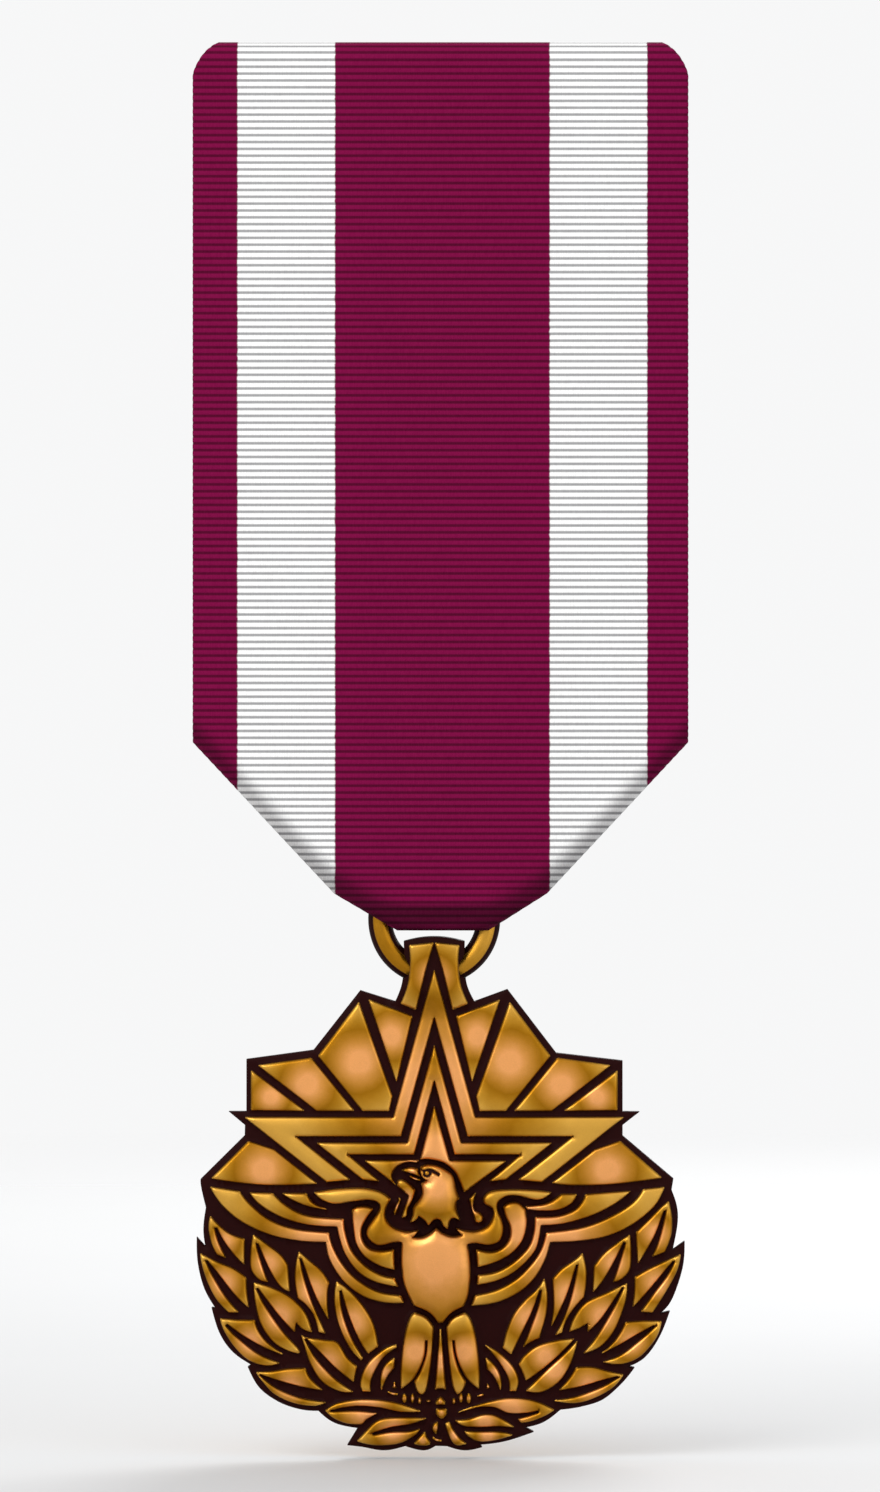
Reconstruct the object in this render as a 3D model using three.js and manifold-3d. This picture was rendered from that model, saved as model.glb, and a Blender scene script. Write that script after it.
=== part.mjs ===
// A military service medal: a struck bronze pendant that hangs from a ring in a folded
// three-colour ribbon, and a brooch plate with a hinged pin behind the head of the ribbon.
// Millimetres. X runs to the viewer's right, the decorated side faces -Y, Z is up.
// The origin lies on the flat back of the brooch plate, between the hinge and the catch.

import * as THREE from 'three';
import { mergeVertices } from 'three/addons/utils/BufferGeometryUtils.js';
import Module from 'manifold-3d';

const wasm = await Module();
wasm.setup();

// ---------------------------------------------------------------- driving dimensions
const RIBBON_WIDTH = 35.0;
const RIBBON_LENGTH = 62.9; // top fold to bottom fold
const RIBBON_THICK = 0.4;
const CORNER_RADIUS = 3.4; // rounded top corners
const CORNER_CENTRE_X = 14.19;
const CORNER_CENTRE_DROP = 3.18;
const CORNER_FROM_DEG = 13.2;
const CORNER_TO_DEG = 69.2;
const RIBBON_LOOP_HALF = 15.3; // half width of the gathered loop in the slot
const FOLD_SIDE_DROP = 49.6; // top of the ribbon to the start of the oblique folds
const FOLD_KNEE_DROP = 60.2;
const FOLD_KNEE_HALF = 7.5;
const HEM_HALF = 3.3;
const FLAP_EDGE_X = 0.9; // inner edge of the folded corners, behind the front ply
const TONGUE_HALF = 1.3; // the gathered strip that passes through the ring
const REAR_Y = -1.1; // midplane of the rear ply, close behind the front ply
const REAR_BEND_RADIUS = 0.4; // bend below the slot
const REAR_LEAVES_Z = -38; // the rear ply leaves the front ply here
const REAR_TAPER_Z = -37; // and narrows from here towards the ring
const TURN_CLEARANCE = 0.15; // between the ring's wire and the turned ribbon
const TURN_BELOW_WIRE = 0.3;
const TURN_UP = 2.2; // the turned end reaches this far above the turn's centre
const THREAD_RADIUS = 0.12;
const SEAM_HALF = 13.5;
const SEAM_STITCHES = 26;
const SEAM_LOW_Z = -33;
const SEAM_HIGH_Z = -32.2;
const TACK_INNER_X = 1.6;
const TACK_OUTER_X = 2.6;
const TACK_TOP_Z = -44.8;
const TACK_STEP = 0.5;
const TACK_STITCHES = 8;
const THREAD_STANDOFF = 0.15; // thread axis behind the cloth it is sewn to

const PLATE_HALF = 17.3;
const PLATE_THICK = 0.8;
const PLATE_BOTTOM = -3.7;
const PLATE_TOP_RADIUS = 3.5;
const PLATE_FOOT_RADIUS = 1.5;
const SLOT_BOTTOM = 3.7;
const SLOT_TOP = 4.6;
const SLOT_HALF = 15.7;
const BAR_CENTRE = 5.4; // height of the bar that the ribbon loops round
const BAR_HALF = 0.8;
const BAY_HALF = 9.5; // half width of the free flat bay between hinge and catch
const LOOP_RADIUS = 1.16; // ribbon midline round the bar
const LOOP_AXIS_Y = -PLATE_THICK / 2;

const PIN_Y = 3.0; // pin axis behind the plate
const PIN_RADIUS = 0.5;
const PIN_TIP_X = 15.4;
const PIN_POINT_LENGTH = 3.2;
const HINGE_X = -13.6;
const EYE_RADIUS = 1.3;
const EYE_BORE = 0.8;
const EYE_HALF = 1.3;
const RIVET_RADIUS = 0.5;
const RIVET_HEAD_RADIUS = 0.95;
const RIVET_HEAD_THICK = 0.4;
const EAR_INNER = 1.6;
const EAR_OUTER = 2.1;
const EAR_HALF = 1.25;
const BRACKET_BASE = 0.5;
const RIVET_CLEARANCE = 0.05;
const RIVET_EDGE = 0.15; // straight rim of the rivet's head
const CATCH_X = 12.9;
const CATCH_HALF = 1.6;
const CATCH_FOOT_HALF = 2.1;
const CATCH_FOOT_THICK = 0.5;
const CATCH_STEM_HALF = 0.7;
const CATCH_STEM_TOP = 1.4;
const BARREL_OUTER = 1.85;
const BARREL_INNER = 1.45;
const SLEEVE_OUTER = 1.2;
const SLEEVE_INNER = 0.78;
const MOUTH_HALF = 0.68;
const LEVER_REST_DEG = 52; // lever above the mouth, measured from +Y towards +Z
const LEVER_TRAVEL_DEG = 85;
const LEVER_REACH = 2.9;
const LEVER_HALF_THICK = 0.22;
const LEVER_HALF_WIDTH = 0.35;
const LEVER_SLOT_HALF = 0.55;
const LEVER_MARGIN_DEG = 13; // room in the barrel beyond both ends of the lever's travel
const SLEEVE_INSET = 0.15;

const RING_X = -0.45;
const RING_Y = -0.05;
const RING_RADIUS = 3.8; // centre of the wire
const WIRE_RADIUS = 0.8;
const RING_DROP = 62.15; // top of the ribbon to the ring's centre

const GROUND = 0.7; // recessed field of the pendant, in front of the ring plane
const BACK = 0.9; // flat reverse of the pendant, behind the ring plane
const LUG_HALF_DEPTH = 1.5;
const LUG_TOP_DROP = 63.4;
const ROOT = 0.3; // how far the relief reaches into the planchet
const SWING_CUT_DEG = [-45, -30, -15, 0, 15, 30, 45];
const BORE_CLEARANCE = 0.22;
const FIELD_DROP = 82.44; // top of the ribbon to the pendant's drawing level

const RIBBON_TOP = BAR_CENTRE + LOOP_RADIUS + RIBBON_THICK / 2;
const RIBBON_BOTTOM = RIBBON_TOP - RIBBON_LENGTH;
const RING_Z = RIBBON_TOP - RING_DROP;
const FIELD_Z = RIBBON_TOP - FIELD_DROP;
const FRONT_Y = LOOP_AXIS_Y - LOOP_RADIUS; // midplane of the front ply
const DEG = Math.PI / 180;

// ---------------------------------------------------------------- shaping helpers
function solid(geometry) {
  const bare = geometry.clone();
  bare.deleteAttribute('normal');
  bare.deleteAttribute('uv');
  const welded = mergeVertices(bare, 1e-4);
  const corners = [];
  const index = welded.index.array;
  for (let i = 0; i < index.length; i += 3) {
    const [a, b, c] = [index[i], index[i + 1], index[i + 2]];
    if (a !== b && b !== c && a !== c) corners.push(a, b, c);
  }
  return new wasm.Manifold(new wasm.Mesh({
    numProp: 3,
    vertProperties: new Float32Array(welded.attributes.position.array),
    triVerts: new Uint32Array(corners),
  }));
}

function geometryOf(body) {
  const mesh = body.getMesh();
  const geometry = new THREE.BufferGeometry();
  geometry.setAttribute('position', new THREE.BufferAttribute(new Float32Array(mesh.vertProperties), 3));
  geometry.setIndex(new THREE.BufferAttribute(new Uint32Array(mesh.triVerts), 1));
  return geometry;
}

function join(bodies) {
  return bodies.reduce((whole, body) => whole.add(body));
}

function extrude(points, depth) {
  const shape = new THREE.Shape(points.map(([a, b]) => new THREE.Vector2(a, b)));
  return new THREE.ExtrudeGeometry(shape, { depth, bevelEnabled: false, steps: 1 });
}

// Outline in X and Z, filled from y0 to y1.
function slabXZ(points, y0, y1) {
  return extrude(points, y1 - y0).rotateX(Math.PI / 2).translate(0, y1, 0);
}

// Outline in Y and Z, filled from x0 to x1.
function slabYZ(points, x0, x1) {
  const turn = new THREE.Matrix4().set(0, 0, 1, x0, 1, 0, 0, 0, 0, 1, 0, 0, 0, 0, 0, 1);
  return extrude(points, x1 - x0).applyMatrix4(turn);
}

// Outline in X and Y, filled from z0 to z1.
function slabXY(points, z0, z1) {
  return extrude(points, z1 - z0).translate(0, 0, z0);
}

function arc(cx, cy, radius, fromDeg, toDeg, steps) {
  const points = [];
  for (let i = 0; i <= steps; i++) {
    const angle = (fromDeg + ((toDeg - fromDeg) * i) / steps) * DEG;
    points.push([cx + radius * Math.cos(angle), cy + radius * Math.sin(angle)]);
  }
  return points;
}

// A strip of constant thickness along a midline.
function strip(midline, thick) {
  const left = [];
  const right = [];
  midline.forEach(([a, b], i) => {
    const before = midline[Math.max(i - 1, 0)];
    const after = midline[Math.min(i + 1, midline.length - 1)];
    const length = Math.hypot(after[0] - before[0], after[1] - before[1]);
    const na = (-(after[1] - before[1]) / length) * (thick / 2);
    const nb = ((after[0] - before[0]) / length) * (thick / 2);
    left.push([a + na, b + nb]);
    right.unshift([a - na, b - nb]);
  });
  return [...left, ...right];
}

// A closed outline through points: a point with a third value is passed smoothly, others are corners.
function outline(points, steps = 3) {
  const result = [];
  const count = points.length;
  for (let i = 0; i < count; i++) {
    const p0 = points[(i + count - 1) % count];
    const p1 = points[i];
    const p2 = points[(i + 1) % count];
    const p3 = points[(i + 2) % count];
    result.push([p1[0], p1[1]]);
    if (!p1[2] && !p2[2]) continue;
    const m1 = p1[2] ? [(p2[0] - p0[0]) / 2, (p2[1] - p0[1]) / 2] : null;
    const m2 = p2[2] ? [(p3[0] - p1[0]) / 2, (p3[1] - p1[1]) / 2] : null;
    const chord = [p2[0] - p1[0], p2[1] - p1[1]];
    const start = m1 || [1.5 * chord[0] - 0.5 * m2[0], 1.5 * chord[1] - 0.5 * m2[1]];
    const end = m2 || [1.5 * chord[0] - 0.5 * m1[0], 1.5 * chord[1] - 0.5 * m1[1]];
    for (let k = 1; k < steps; k++) {
      const t = k / steps;
      const h1 = 2 * t ** 3 - 3 * t ** 2 + 1;
      const h2 = t ** 3 - 2 * t ** 2 + t;
      const h3 = t ** 3 - t ** 2;
      result.push([0, 1].map((c) => h1 * p1[c] + h2 * start[c] + (1 - h1) * p2[c] + h3 * end[c]));
    }
  }
  return result;
}

const onField = (points) => points.map(([x, z]) => [x, z + FIELD_Z]);
const mirrored = (points, axis) => points.map((p) => [2 * axis - p[0], ...p.slice(1)]).reverse();

// A block of relief on the pendant's field, its face `height` in front of the field.
function relief(points, height) {
  return solid(slabXZ(onField(outline(points)), RING_Y - GROUND - height, RING_Y - GROUND + ROOT));
}

// ---------------------------------------------------------------- materials
const brass = () => new THREE.MeshStandardMaterial({ color: 0xc2a05a, metalness: 0.9, roughness: 0.4 });
const steel = () => new THREE.MeshStandardMaterial({ color: 0xb9bbbd, metalness: 0.95, roughness: 0.3 });
const bronze = () => new THREE.MeshStandardMaterial({ color: 0xb98238, metalness: 0.9, roughness: 0.42 });
const weave = () => new THREE.MeshStandardMaterial({ color: 0x8a1540, metalness: 0, roughness: 0.9 });
const cotton = () => new THREE.MeshStandardMaterial({ color: 0xd9d2c6, metalness: 0, roughness: 0.95 });

// ---------------------------------------------------------------- brooch plate
// Four flat bays meet edge to edge, so the free bay behind the origin is a face of its own.
function broochPlate() {
  const lowTop = BAR_CENTRE + BAR_HALF;
  const r = PLATE_TOP_RADIUS;
  const f = PLATE_FOOT_RADIUS;
  const middle = [
    [-BAY_HALF, PLATE_BOTTOM], [BAY_HALF, PLATE_BOTTOM], [BAY_HALF, SLOT_BOTTOM], [-BAY_HALF, SLOT_BOTTOM],
  ];
  const rightBay = [
    [BAY_HALF, PLATE_BOTTOM],
    ...arc(PLATE_HALF - f, PLATE_BOTTOM + f, f, -90, 0, 6),
    [PLATE_HALF, SLOT_BOTTOM - 1],
    [SLOT_HALF, SLOT_BOTTOM],
    [BAY_HALF, SLOT_BOTTOM],
  ];
  const head = [
    [SLOT_HALF, SLOT_BOTTOM],
    [PLATE_HALF, SLOT_BOTTOM - 1],
    ...arc(PLATE_HALF - r, lowTop - r, r, 0, 90, 8),
    ...arc(r - PLATE_HALF, lowTop - r, r, 90, 180, 8),
    [-PLATE_HALF, SLOT_BOTTOM - 1],
    [-SLOT_HALF, SLOT_BOTTOM],
    [-SLOT_HALF, SLOT_TOP],
    [SLOT_HALF, SLOT_TOP],
  ];
  return patchwork([middle, rightBay, mirrored(rightBay, 0), head], -PLATE_THICK, 0);
}

// A flat plate made of outlines that share their common edges.
function patchwork(bays, y0, y1) {
  const positions = [];
  const edges = new Map();
  const key = (p) => `${p[0].toFixed(4)},${p[1].toFixed(4)}`;
  const put = (p, y) => positions.push(p[0], y, p[1]);
  for (const bay of bays) {
    const flat = bay.map(([x, z]) => new THREE.Vector2(x, z));
    for (const [a, b, c] of THREE.ShapeUtils.triangulateShape(flat, [])) {
      [a, b, c].forEach((i) => put(bay[i], y0));
      [c, b, a].forEach((i) => put(bay[i], y1));
    }
    bay.forEach((p, i) => {
      const q = bay[(i + 1) % bay.length];
      const back = `${key(q)}|${key(p)}`;
      if (edges.has(back)) edges.delete(back);
      else edges.set(`${key(p)}|${key(q)}`, [p, q]);
    });
  }
  for (const [p, q] of edges.values()) {
    put(p, y0); put(p, y1); put(q, y1);
    put(p, y0); put(q, y1); put(q, y0);
  }
  const geometry = new THREE.BufferGeometry();
  geometry.setAttribute('position', new THREE.BufferAttribute(new Float32Array(positions), 3));
  return mergeVertices(geometry, 1e-4);
}

// ---------------------------------------------------------------- hinge
// A folded channel: a foot on the plate and two ears that carry the rivet.
function hingeBracket() {
  const left = HINGE_X - EAR_HALF;
  const right = HINGE_X + EAR_HALF;
  const base = [[left, 0], [right, 0], [right, BRACKET_BASE], [left, BRACKET_BASE]];
  const side = [[left, 0], [right, 0], ...arc(HINGE_X, PIN_Y, EAR_HALF, 0, 180, 14)];
  const boreRadius = RIVET_RADIUS + RIVET_CLEARANCE;
  const bore = new THREE.CylinderGeometry(boreRadius, boreRadius, 3 * EAR_OUTER, 20)
    .rotateX(Math.PI / 2).translate(HINGE_X, PIN_Y, 0);
  const slabs = [
    slabXY(base, -EAR_OUTER, EAR_OUTER), slabXY(side, EAR_INNER, EAR_OUTER), slabXY(side, -EAR_OUTER, -EAR_INNER),
  ];
  return geometryOf(join(slabs.map(solid)).subtract(solid(bore)));
}

function hingeRivet() {
  const under = EAR_OUTER + RIVET_CLEARANCE;
  const top = under + RIVET_HEAD_THICK;
  const half = [
    [0, top], [RIVET_HEAD_RADIUS * 0.6, top], [RIVET_HEAD_RADIUS, under + RIVET_EDGE],
    [RIVET_HEAD_RADIUS, under], [RIVET_RADIUS, under],
  ];
  const profile = [...half.map(([r, z]) => [r, -z]), ...half.slice().reverse()];
  const lathe = new THREE.LatheGeometry(profile.map(([r, z]) => new THREE.Vector2(r, z)), 20);
  return lathe.rotateX(Math.PI / 2).translate(HINGE_X, PIN_Y, 0);
}

// ---------------------------------------------------------------- pin
function pinStem() {
  const barrel = (radius, height) => solid(
    new THREE.CylinderGeometry(radius, radius, height, 28).rotateX(Math.PI / 2),
  );
  const length = PIN_TIP_X - HINGE_X;
  const start = (EYE_RADIUS + EYE_BORE) / 2;
  const profile = [
    [0, start], [PIN_RADIUS, start], [PIN_RADIUS, length - PIN_POINT_LENGTH],
    [PIN_RADIUS * 0.55, length - PIN_POINT_LENGTH * 0.35], [0, length],
  ];
  const turned = new THREE.LatheGeometry(profile.map(([r, x]) => new THREE.Vector2(r, x)), 16);
  const stem = solid(turned.rotateZ(-Math.PI / 2));
  const whole = barrel(EYE_RADIUS, 2 * EYE_HALF).add(stem).subtract(barrel(EYE_BORE, 4 * EYE_HALF));
  return geometryOf(whole).translate(HINGE_X, PIN_Y, 0);
}

// ---------------------------------------------------------------- catch
// A ring sector with a parallel-sided mouth towards +Y, drawn in Y and Z about the pin's axis.
function openRing(inner, outer, steps) {
  const innerHalf = Math.asin(MOUTH_HALF / inner) / DEG;
  const outerHalf = Math.asin(MOUTH_HALF / outer) / DEG;
  return [
    ...arc(PIN_Y, 0, outer, outerHalf, 360 - outerHalf, steps),
    ...arc(PIN_Y, 0, inner, 360 - innerHalf, innerHalf, steps),
  ];
}

// A C-shaped barrel on a foot, with a slot for the sleeve's lever.
function catchBase() {
  const across = (points, half) => solid(slabYZ(points, CATCH_X - half, CATCH_X + half));
  const foot = [
    [0, -CATCH_FOOT_HALF], [CATCH_FOOT_THICK, -CATCH_FOOT_HALF], [CATCH_FOOT_THICK, -CATCH_STEM_HALF - 0.1],
    [CATCH_STEM_TOP, -CATCH_STEM_HALF], [CATCH_STEM_TOP, CATCH_STEM_HALF],
    [CATCH_FOOT_THICK, CATCH_STEM_HALF + 0.1], [CATCH_FOOT_THICK, CATCH_FOOT_HALF], [0, CATCH_FOOT_HALF],
  ];
  const fromDeg = LEVER_REST_DEG - LEVER_MARGIN_DEG;
  const toDeg = LEVER_REST_DEG + LEVER_TRAVEL_DEG + LEVER_MARGIN_DEG;
  const wedge = [[PIN_Y, 0], ...arc(PIN_Y, 0, 2 * LEVER_REACH, fromDeg, toDeg, 10)];
  const hollow = arc(PIN_Y, 0, BARREL_INNER, 0, 345, 23);
  const barrel = across(openRing(BARREL_INNER, BARREL_OUTER, 26), CATCH_HALF);
  const stem = across(foot, CATCH_HALF).subtract(across(hollow, 2 * CATCH_HALF));
  return geometryOf(barrel.subtract(across(wedge, LEVER_SLOT_HALF)).add(stem));
}

function catchSleeve() {
  const half = CATCH_HALF - SLEEVE_INSET;
  const sleeve = solid(slabYZ(openRing(SLEEVE_INNER, SLEEVE_OUTER, 24), CATCH_X - half, CATCH_X + half));
  const middle = (SLEEVE_INNER + SLEEVE_OUTER) / 2;
  const t = LEVER_HALF_THICK;
  const bar = [[middle, -t], ...arc(LEVER_REACH - t, 0, t, -90, 90, 4), [middle, t]];
  const lever = slabYZ(bar, CATCH_X - LEVER_HALF_WIDTH, CATCH_X + LEVER_HALF_WIDTH)
    .rotateX(LEVER_REST_DEG * DEG).translate(0, PIN_Y, 0);
  return geometryOf(sleeve.add(solid(lever)));
}

// ---------------------------------------------------------------- ribbon
const WIDER = RIBBON_WIDTH; // half width of slabs that are trimmed afterwards
const DEEPER = 9; // half depth of slabs that are trimmed afterwards
const TURN_Z = RING_Z + RING_RADIUS - TURN_BELOW_WIRE; // centre of the turn inside the ring
const TURN_RADIUS = WIRE_RADIUS + TURN_CLEARANCE + RIBBON_THICK / 2;

// Front view of the visible ply: rounded head, straight sides and two oblique folds.
function ribbonFace() {
  const right = [
    [HEM_HALF, RIBBON_BOTTOM],
    [FOLD_KNEE_HALF, RIBBON_TOP - FOLD_KNEE_DROP],
    [RIBBON_WIDTH / 2, RIBBON_TOP - FOLD_SIDE_DROP],
    ...arc(CORNER_CENTRE_X, RIBBON_TOP - CORNER_CENTRE_DROP, CORNER_RADIUS, CORNER_FROM_DEG, CORNER_TO_DEG, 5),
  ];
  return [...right, ...mirrored(right, 0)];
}

function frontPly() {
  const line = [...arc(LOOP_AXIS_Y, BAR_CENTRE, LOOP_RADIUS, 80, 180, 12), [FRONT_Y, RIBBON_BOTTOM - 1]];
  const face = solid(slabXZ(ribbonFace(), -DEEPER, DEEPER));
  return solid(slabYZ(strip(line, RIBBON_THICK), -WIDER, WIDER)).intersect(face);
}

// From the bar down through the slot and back up under the ring's wire, narrowing to the ring.
function rearPly() {
  const r = REAR_BEND_RADIUS;
  const line = [
    ...arc(LOOP_AXIS_Y, BAR_CENTRE, LOOP_RADIUS, 92, -90, 20),
    ...arc(REAR_Y + r, BAR_CENTRE - LOOP_RADIUS - r, r, 90, 180, 5),
    [REAR_Y, REAR_LEAVES_Z],
    [REAR_Y + 0.15, REAR_LEAVES_Z - 1.5],
    [RING_Y + TURN_RADIUS - 0.1, TURN_Z + 6.4],
    [RING_Y + TURN_RADIUS, TURN_Z + 4.9],
    ...arc(RING_Y, TURN_Z, TURN_RADIUS, 0, -180, 12),
    [RING_Y - TURN_RADIUS, TURN_Z + TURN_UP],
  ];
  const above = RIBBON_TOP + 1;
  const below = TURN_Z - 3;
  const narrow = TURN_Z + 1.2;
  const face = [
    [RING_X + TONGUE_HALF, below], [RING_X + TONGUE_HALF, narrow], [RIBBON_LOOP_HALF, REAR_TAPER_Z],
    [RIBBON_LOOP_HALF, above], [-RIBBON_LOOP_HALF, above], [-RIBBON_LOOP_HALF, REAR_TAPER_Z],
    [RING_X - TONGUE_HALF, narrow], [RING_X - TONGUE_HALF, below],
  ];
  const ply = solid(slabYZ(strip(line, RIBBON_THICK), -WIDER, WIDER));
  return ply.intersect(solid(slabXZ(face, -DEEPER, DEEPER)));
}

function ribbon() {
  const overlap = 0.02;
  const y0 = FRONT_Y + RIBBON_THICK / 2 - overlap;
  const side = RIBBON_TOP - FOLD_SIDE_DROP;
  const knee = RIBBON_TOP - FOLD_KNEE_DROP;
  const flap = [
    [FLAP_EDGE_X, side - FLAP_EDGE_X], [FLAP_EDGE_X, knee + 1.6], [HEM_HALF, RIBBON_BOTTOM],
    [FOLD_KNEE_HALF, knee], [RIBBON_WIDTH / 2, side],
  ];
  const hem = [
    [-HEM_HALF, RIBBON_BOTTOM], [HEM_HALF, RIBBON_BOTTOM],
    [RING_X + TONGUE_HALF, TURN_Z + 1.5], [RING_X - TONGUE_HALF, TURN_Z + 1.5],
  ];
  const y1 = FRONT_Y + 1.5 * RIBBON_THICK;
  const flaps = [flap, mirrored(flap, 0)].map((points) => solid(slabXZ(points, y0, y1)));
  const tongue = solid(slabXZ(hem, y0, RING_Y - TURN_RADIUS + RIBBON_THICK / 2));
  return geometryOf(join([frontPly(), rearPly(), ...flaps, tongue]));
}

// A round thread that runs through points.
function thread(points, steps) {
  const path = new THREE.CatmullRomCurve3(points.map((p) => new THREE.Vector3(...p)));
  const section = new THREE.Shape(arc(0, 0, THREAD_RADIUS, 0, 300, 5).map(([a, b]) => new THREE.Vector2(a, b)));
  return new THREE.ExtrudeGeometry(section, { steps, extrudePath: path, bevelEnabled: false });
}

// A zigzag across the ribbon that closes its loop round the bar.
function seamThread() {
  const points = [];
  const y = REAR_Y + RIBBON_THICK / 2 + THREAD_STANDOFF;
  for (let i = 0; i <= SEAM_STITCHES; i++) {
    points.push([-SEAM_HALF + (2 * SEAM_HALF * i) / SEAM_STITCHES, y, i % 2 ? SEAM_HIGH_Z : SEAM_LOW_Z]);
  }
  return thread(points, 3 * SEAM_STITCHES);
}

// A zigzag that holds the inner edge of a folded corner.
function cornerTack(side) {
  const points = [];
  const y = FRONT_Y + 1.5 * RIBBON_THICK + THREAD_STANDOFF;
  for (let i = 0; i <= TACK_STITCHES; i++) {
    points.push([side * (i % 2 ? TACK_INNER_X : TACK_OUTER_X), y, TACK_TOP_Z - i * TACK_STEP]);
  }
  return thread(points, 4 * TACK_STITCHES);
}

// ---------------------------------------------------------------- suspension ring
function suspensionRing() {
  return new THREE.TorusGeometry(RING_RADIUS, WIRE_RADIUS, 14, 60)
    .rotateX(Math.PI / 2).translate(RING_X, RING_Y, RING_Z);
}

// ---------------------------------------------------------------- pendant
const STAR_X = -0.44; // axis of the neck, the rays and the star
const BODY_X = -0.3; // axis of the eagle's body

function pendantOutline() {
  return onField(outline([
    [-3.2, 14.5], [-5.68, 15.28], [-9.0, 11.0], [-13.75, 10.4], [-13.75, 6.7], [-15.0, 6.7],
    [-13.85, 5.75], [-13.85, 5.0],
    [-17.0, 1.9], [-16.95, 1.3, 1], [-16.62, -0.1], [-16.8, -1.6, 1], [-16.65, -2.9], [-17.27, -2.2],
    [-17.2, -4.0, 1],
    [-16.75, -5.8, 1], [-15.95, -7.22], [-16.22, -7.2], [-15.65, -9.0, 1], [-14.75, -10.3, 1],
    [-13.4, -11.25], [-13.65, -11.4],
    [-12.8, -12.9, 1], [-11.4, -13.9, 1], [-9.9, -14.4, 1], [-8.65, -14.5], [-7.5, -15.35, 1],
    [-5.85, -15.72], [-6.6, -16.95],
    [-5.6, -17.05, 1], [-4.0, -17.3, 1], [-2.5, -17.0], [-1.2, -17.3, 1], [-0.35, -16.98],
    [0.45, -17.0], [1.7, -17.3, 1],
    [2.95, -17.08], [2.8, -16.9], [4.6, -16.65, 1], [6.6, -16.0], [6.0, -15.68], [7.3, -15.3, 1],
    [8.5, -14.42],
    [10.0, -14.2, 1], [11.5, -13.7, 1], [12.8, -12.6, 1], [13.75, -11.45], [13.3, -11.38],
    [14.5, -10.7, 1], [15.5, -9.3, 1],
    [16.25, -7.45], [15.55, -7.62], [16.4, -6.6, 1], [17.15, -4.4, 1], [17.3, -2.5], [16.45, -3.1],
    [16.8, -1.2, 1],
    [16.75, 0.0, 1], [16.37, 1.15], [16.5, 1.95], [12.9, 5.0], [12.9, 5.75], [14.1, 6.68], [12.9, 6.72],
    [12.9, 10.3],
    [8.2, 10.85], [4.75, 15.35], [2.4, 14.5],
  ], 2));
}

// The neck rises from the field and is drilled from side to side for the ring.
function neck() {
  const shoulder = 0.35; // drop of the rounded crown at its edges
  const top = RIBBON_TOP - LUG_TOP_DROP - FIELD_Z;
  const front = onField(outline([
    [-4.2, 12.5], [-3.2, 14.5], [-2.75, 15.6, 1], [-2.6, 17.2, 1], [-2.62, top - shoulder],
    [STAR_X, top, 1],
    [1.74, top - shoulder], [1.72, 17.2, 1], [1.87, 15.6, 1], [2.4, 14.5], [3.3, 12.5],
  ]));
  const body = solid(slabXZ(front, RING_Y - LUG_HALF_DEPTH, RING_Y + LUG_HALF_DEPTH));
  const d = LUG_HALF_DEPTH;
  const crown = top + FIELD_Z;
  const side = [
    [RING_Y - d, crown - 8], [RING_Y + BACK, crown - 8], [RING_Y + BACK, crown - 5.4],
    [RING_Y + d, crown - 4.2], [RING_Y + d, crown - 0.9], [RING_Y + d - 0.3, crown - shoulder],
    [RING_Y + 0.6, crown + 0.05], [RING_Y - 0.6, crown + 0.05],
    [RING_Y - d + 0.3, crown - shoulder], [RING_Y - d, crown - 0.9],
  ];
  return body.intersect(solid(slabYZ(side, -6, 6)));
}

// The room that the ring's wire takes as the pendant rocks on it.
function ringSweep() {
  const low = RING_Z - RING_RADIUS;
  const copies = SWING_CUT_DEG.map((angle) => solid(
    new THREE.TorusGeometry(RING_RADIUS, WIRE_RADIUS + BORE_CLEARANCE, 14, 44)
      .rotateX(Math.PI / 2).translate(0, 0, RING_RADIUS).rotateX(angle * DEG).translate(RING_X, RING_Y, low),
  ));
  return join(copies);
}

// One star tier, from the apex round the side arm to the part the wings cover.
function starTier(apex, notch, tip, level, foot) {
  const half = [[STAR_X, apex], [STAR_X - notch, level], [STAR_X - tip, level], foot];
  return [...half, ...mirrored(half.slice(1), STAR_X)].reverse();
}

function raysAndStar() {
  const left = [
    [[-5.08, 14.6], [-3.12, 8.85], [-2.0, 13.45]],
    [[-5.78, 14.45], [-8.65, 10.65], [-5.5, 6.75], [-3.65, 6.75], [-3.42, 7.8]],
    [[-9.15, 10.5], [-12.9, 9.97], [-8.75, 6.78], [-6.12, 6.78]],
    [[-13.4, 9.6], [-13.4, 6.82], [-9.65, 6.78]],
    [[-16.2, 2.0], [-12.5, 1.55], [-8.75, 1.65], [-11.75, 4.0], [-13.6, 4.6]],
  ];
  const rays = left.flatMap((cell) => [relief(cell, 0.3), relief(mirrored(cell, STAR_X), 0.3)]);
  return [
    ...rays,
    relief(starTier(16.75, 2.9, 13.4, 6.3, [-7.0, 1.2]), 0.45),
    relief(starTier(11.4, 1.9, 8.3, 4.5, [-4.0, 0.6]), 0.65),
    relief(starTier(7.1, 1.05, 4.9, 3.3, [-3.0, 0.2]), 0.85),
  ];
}

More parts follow.
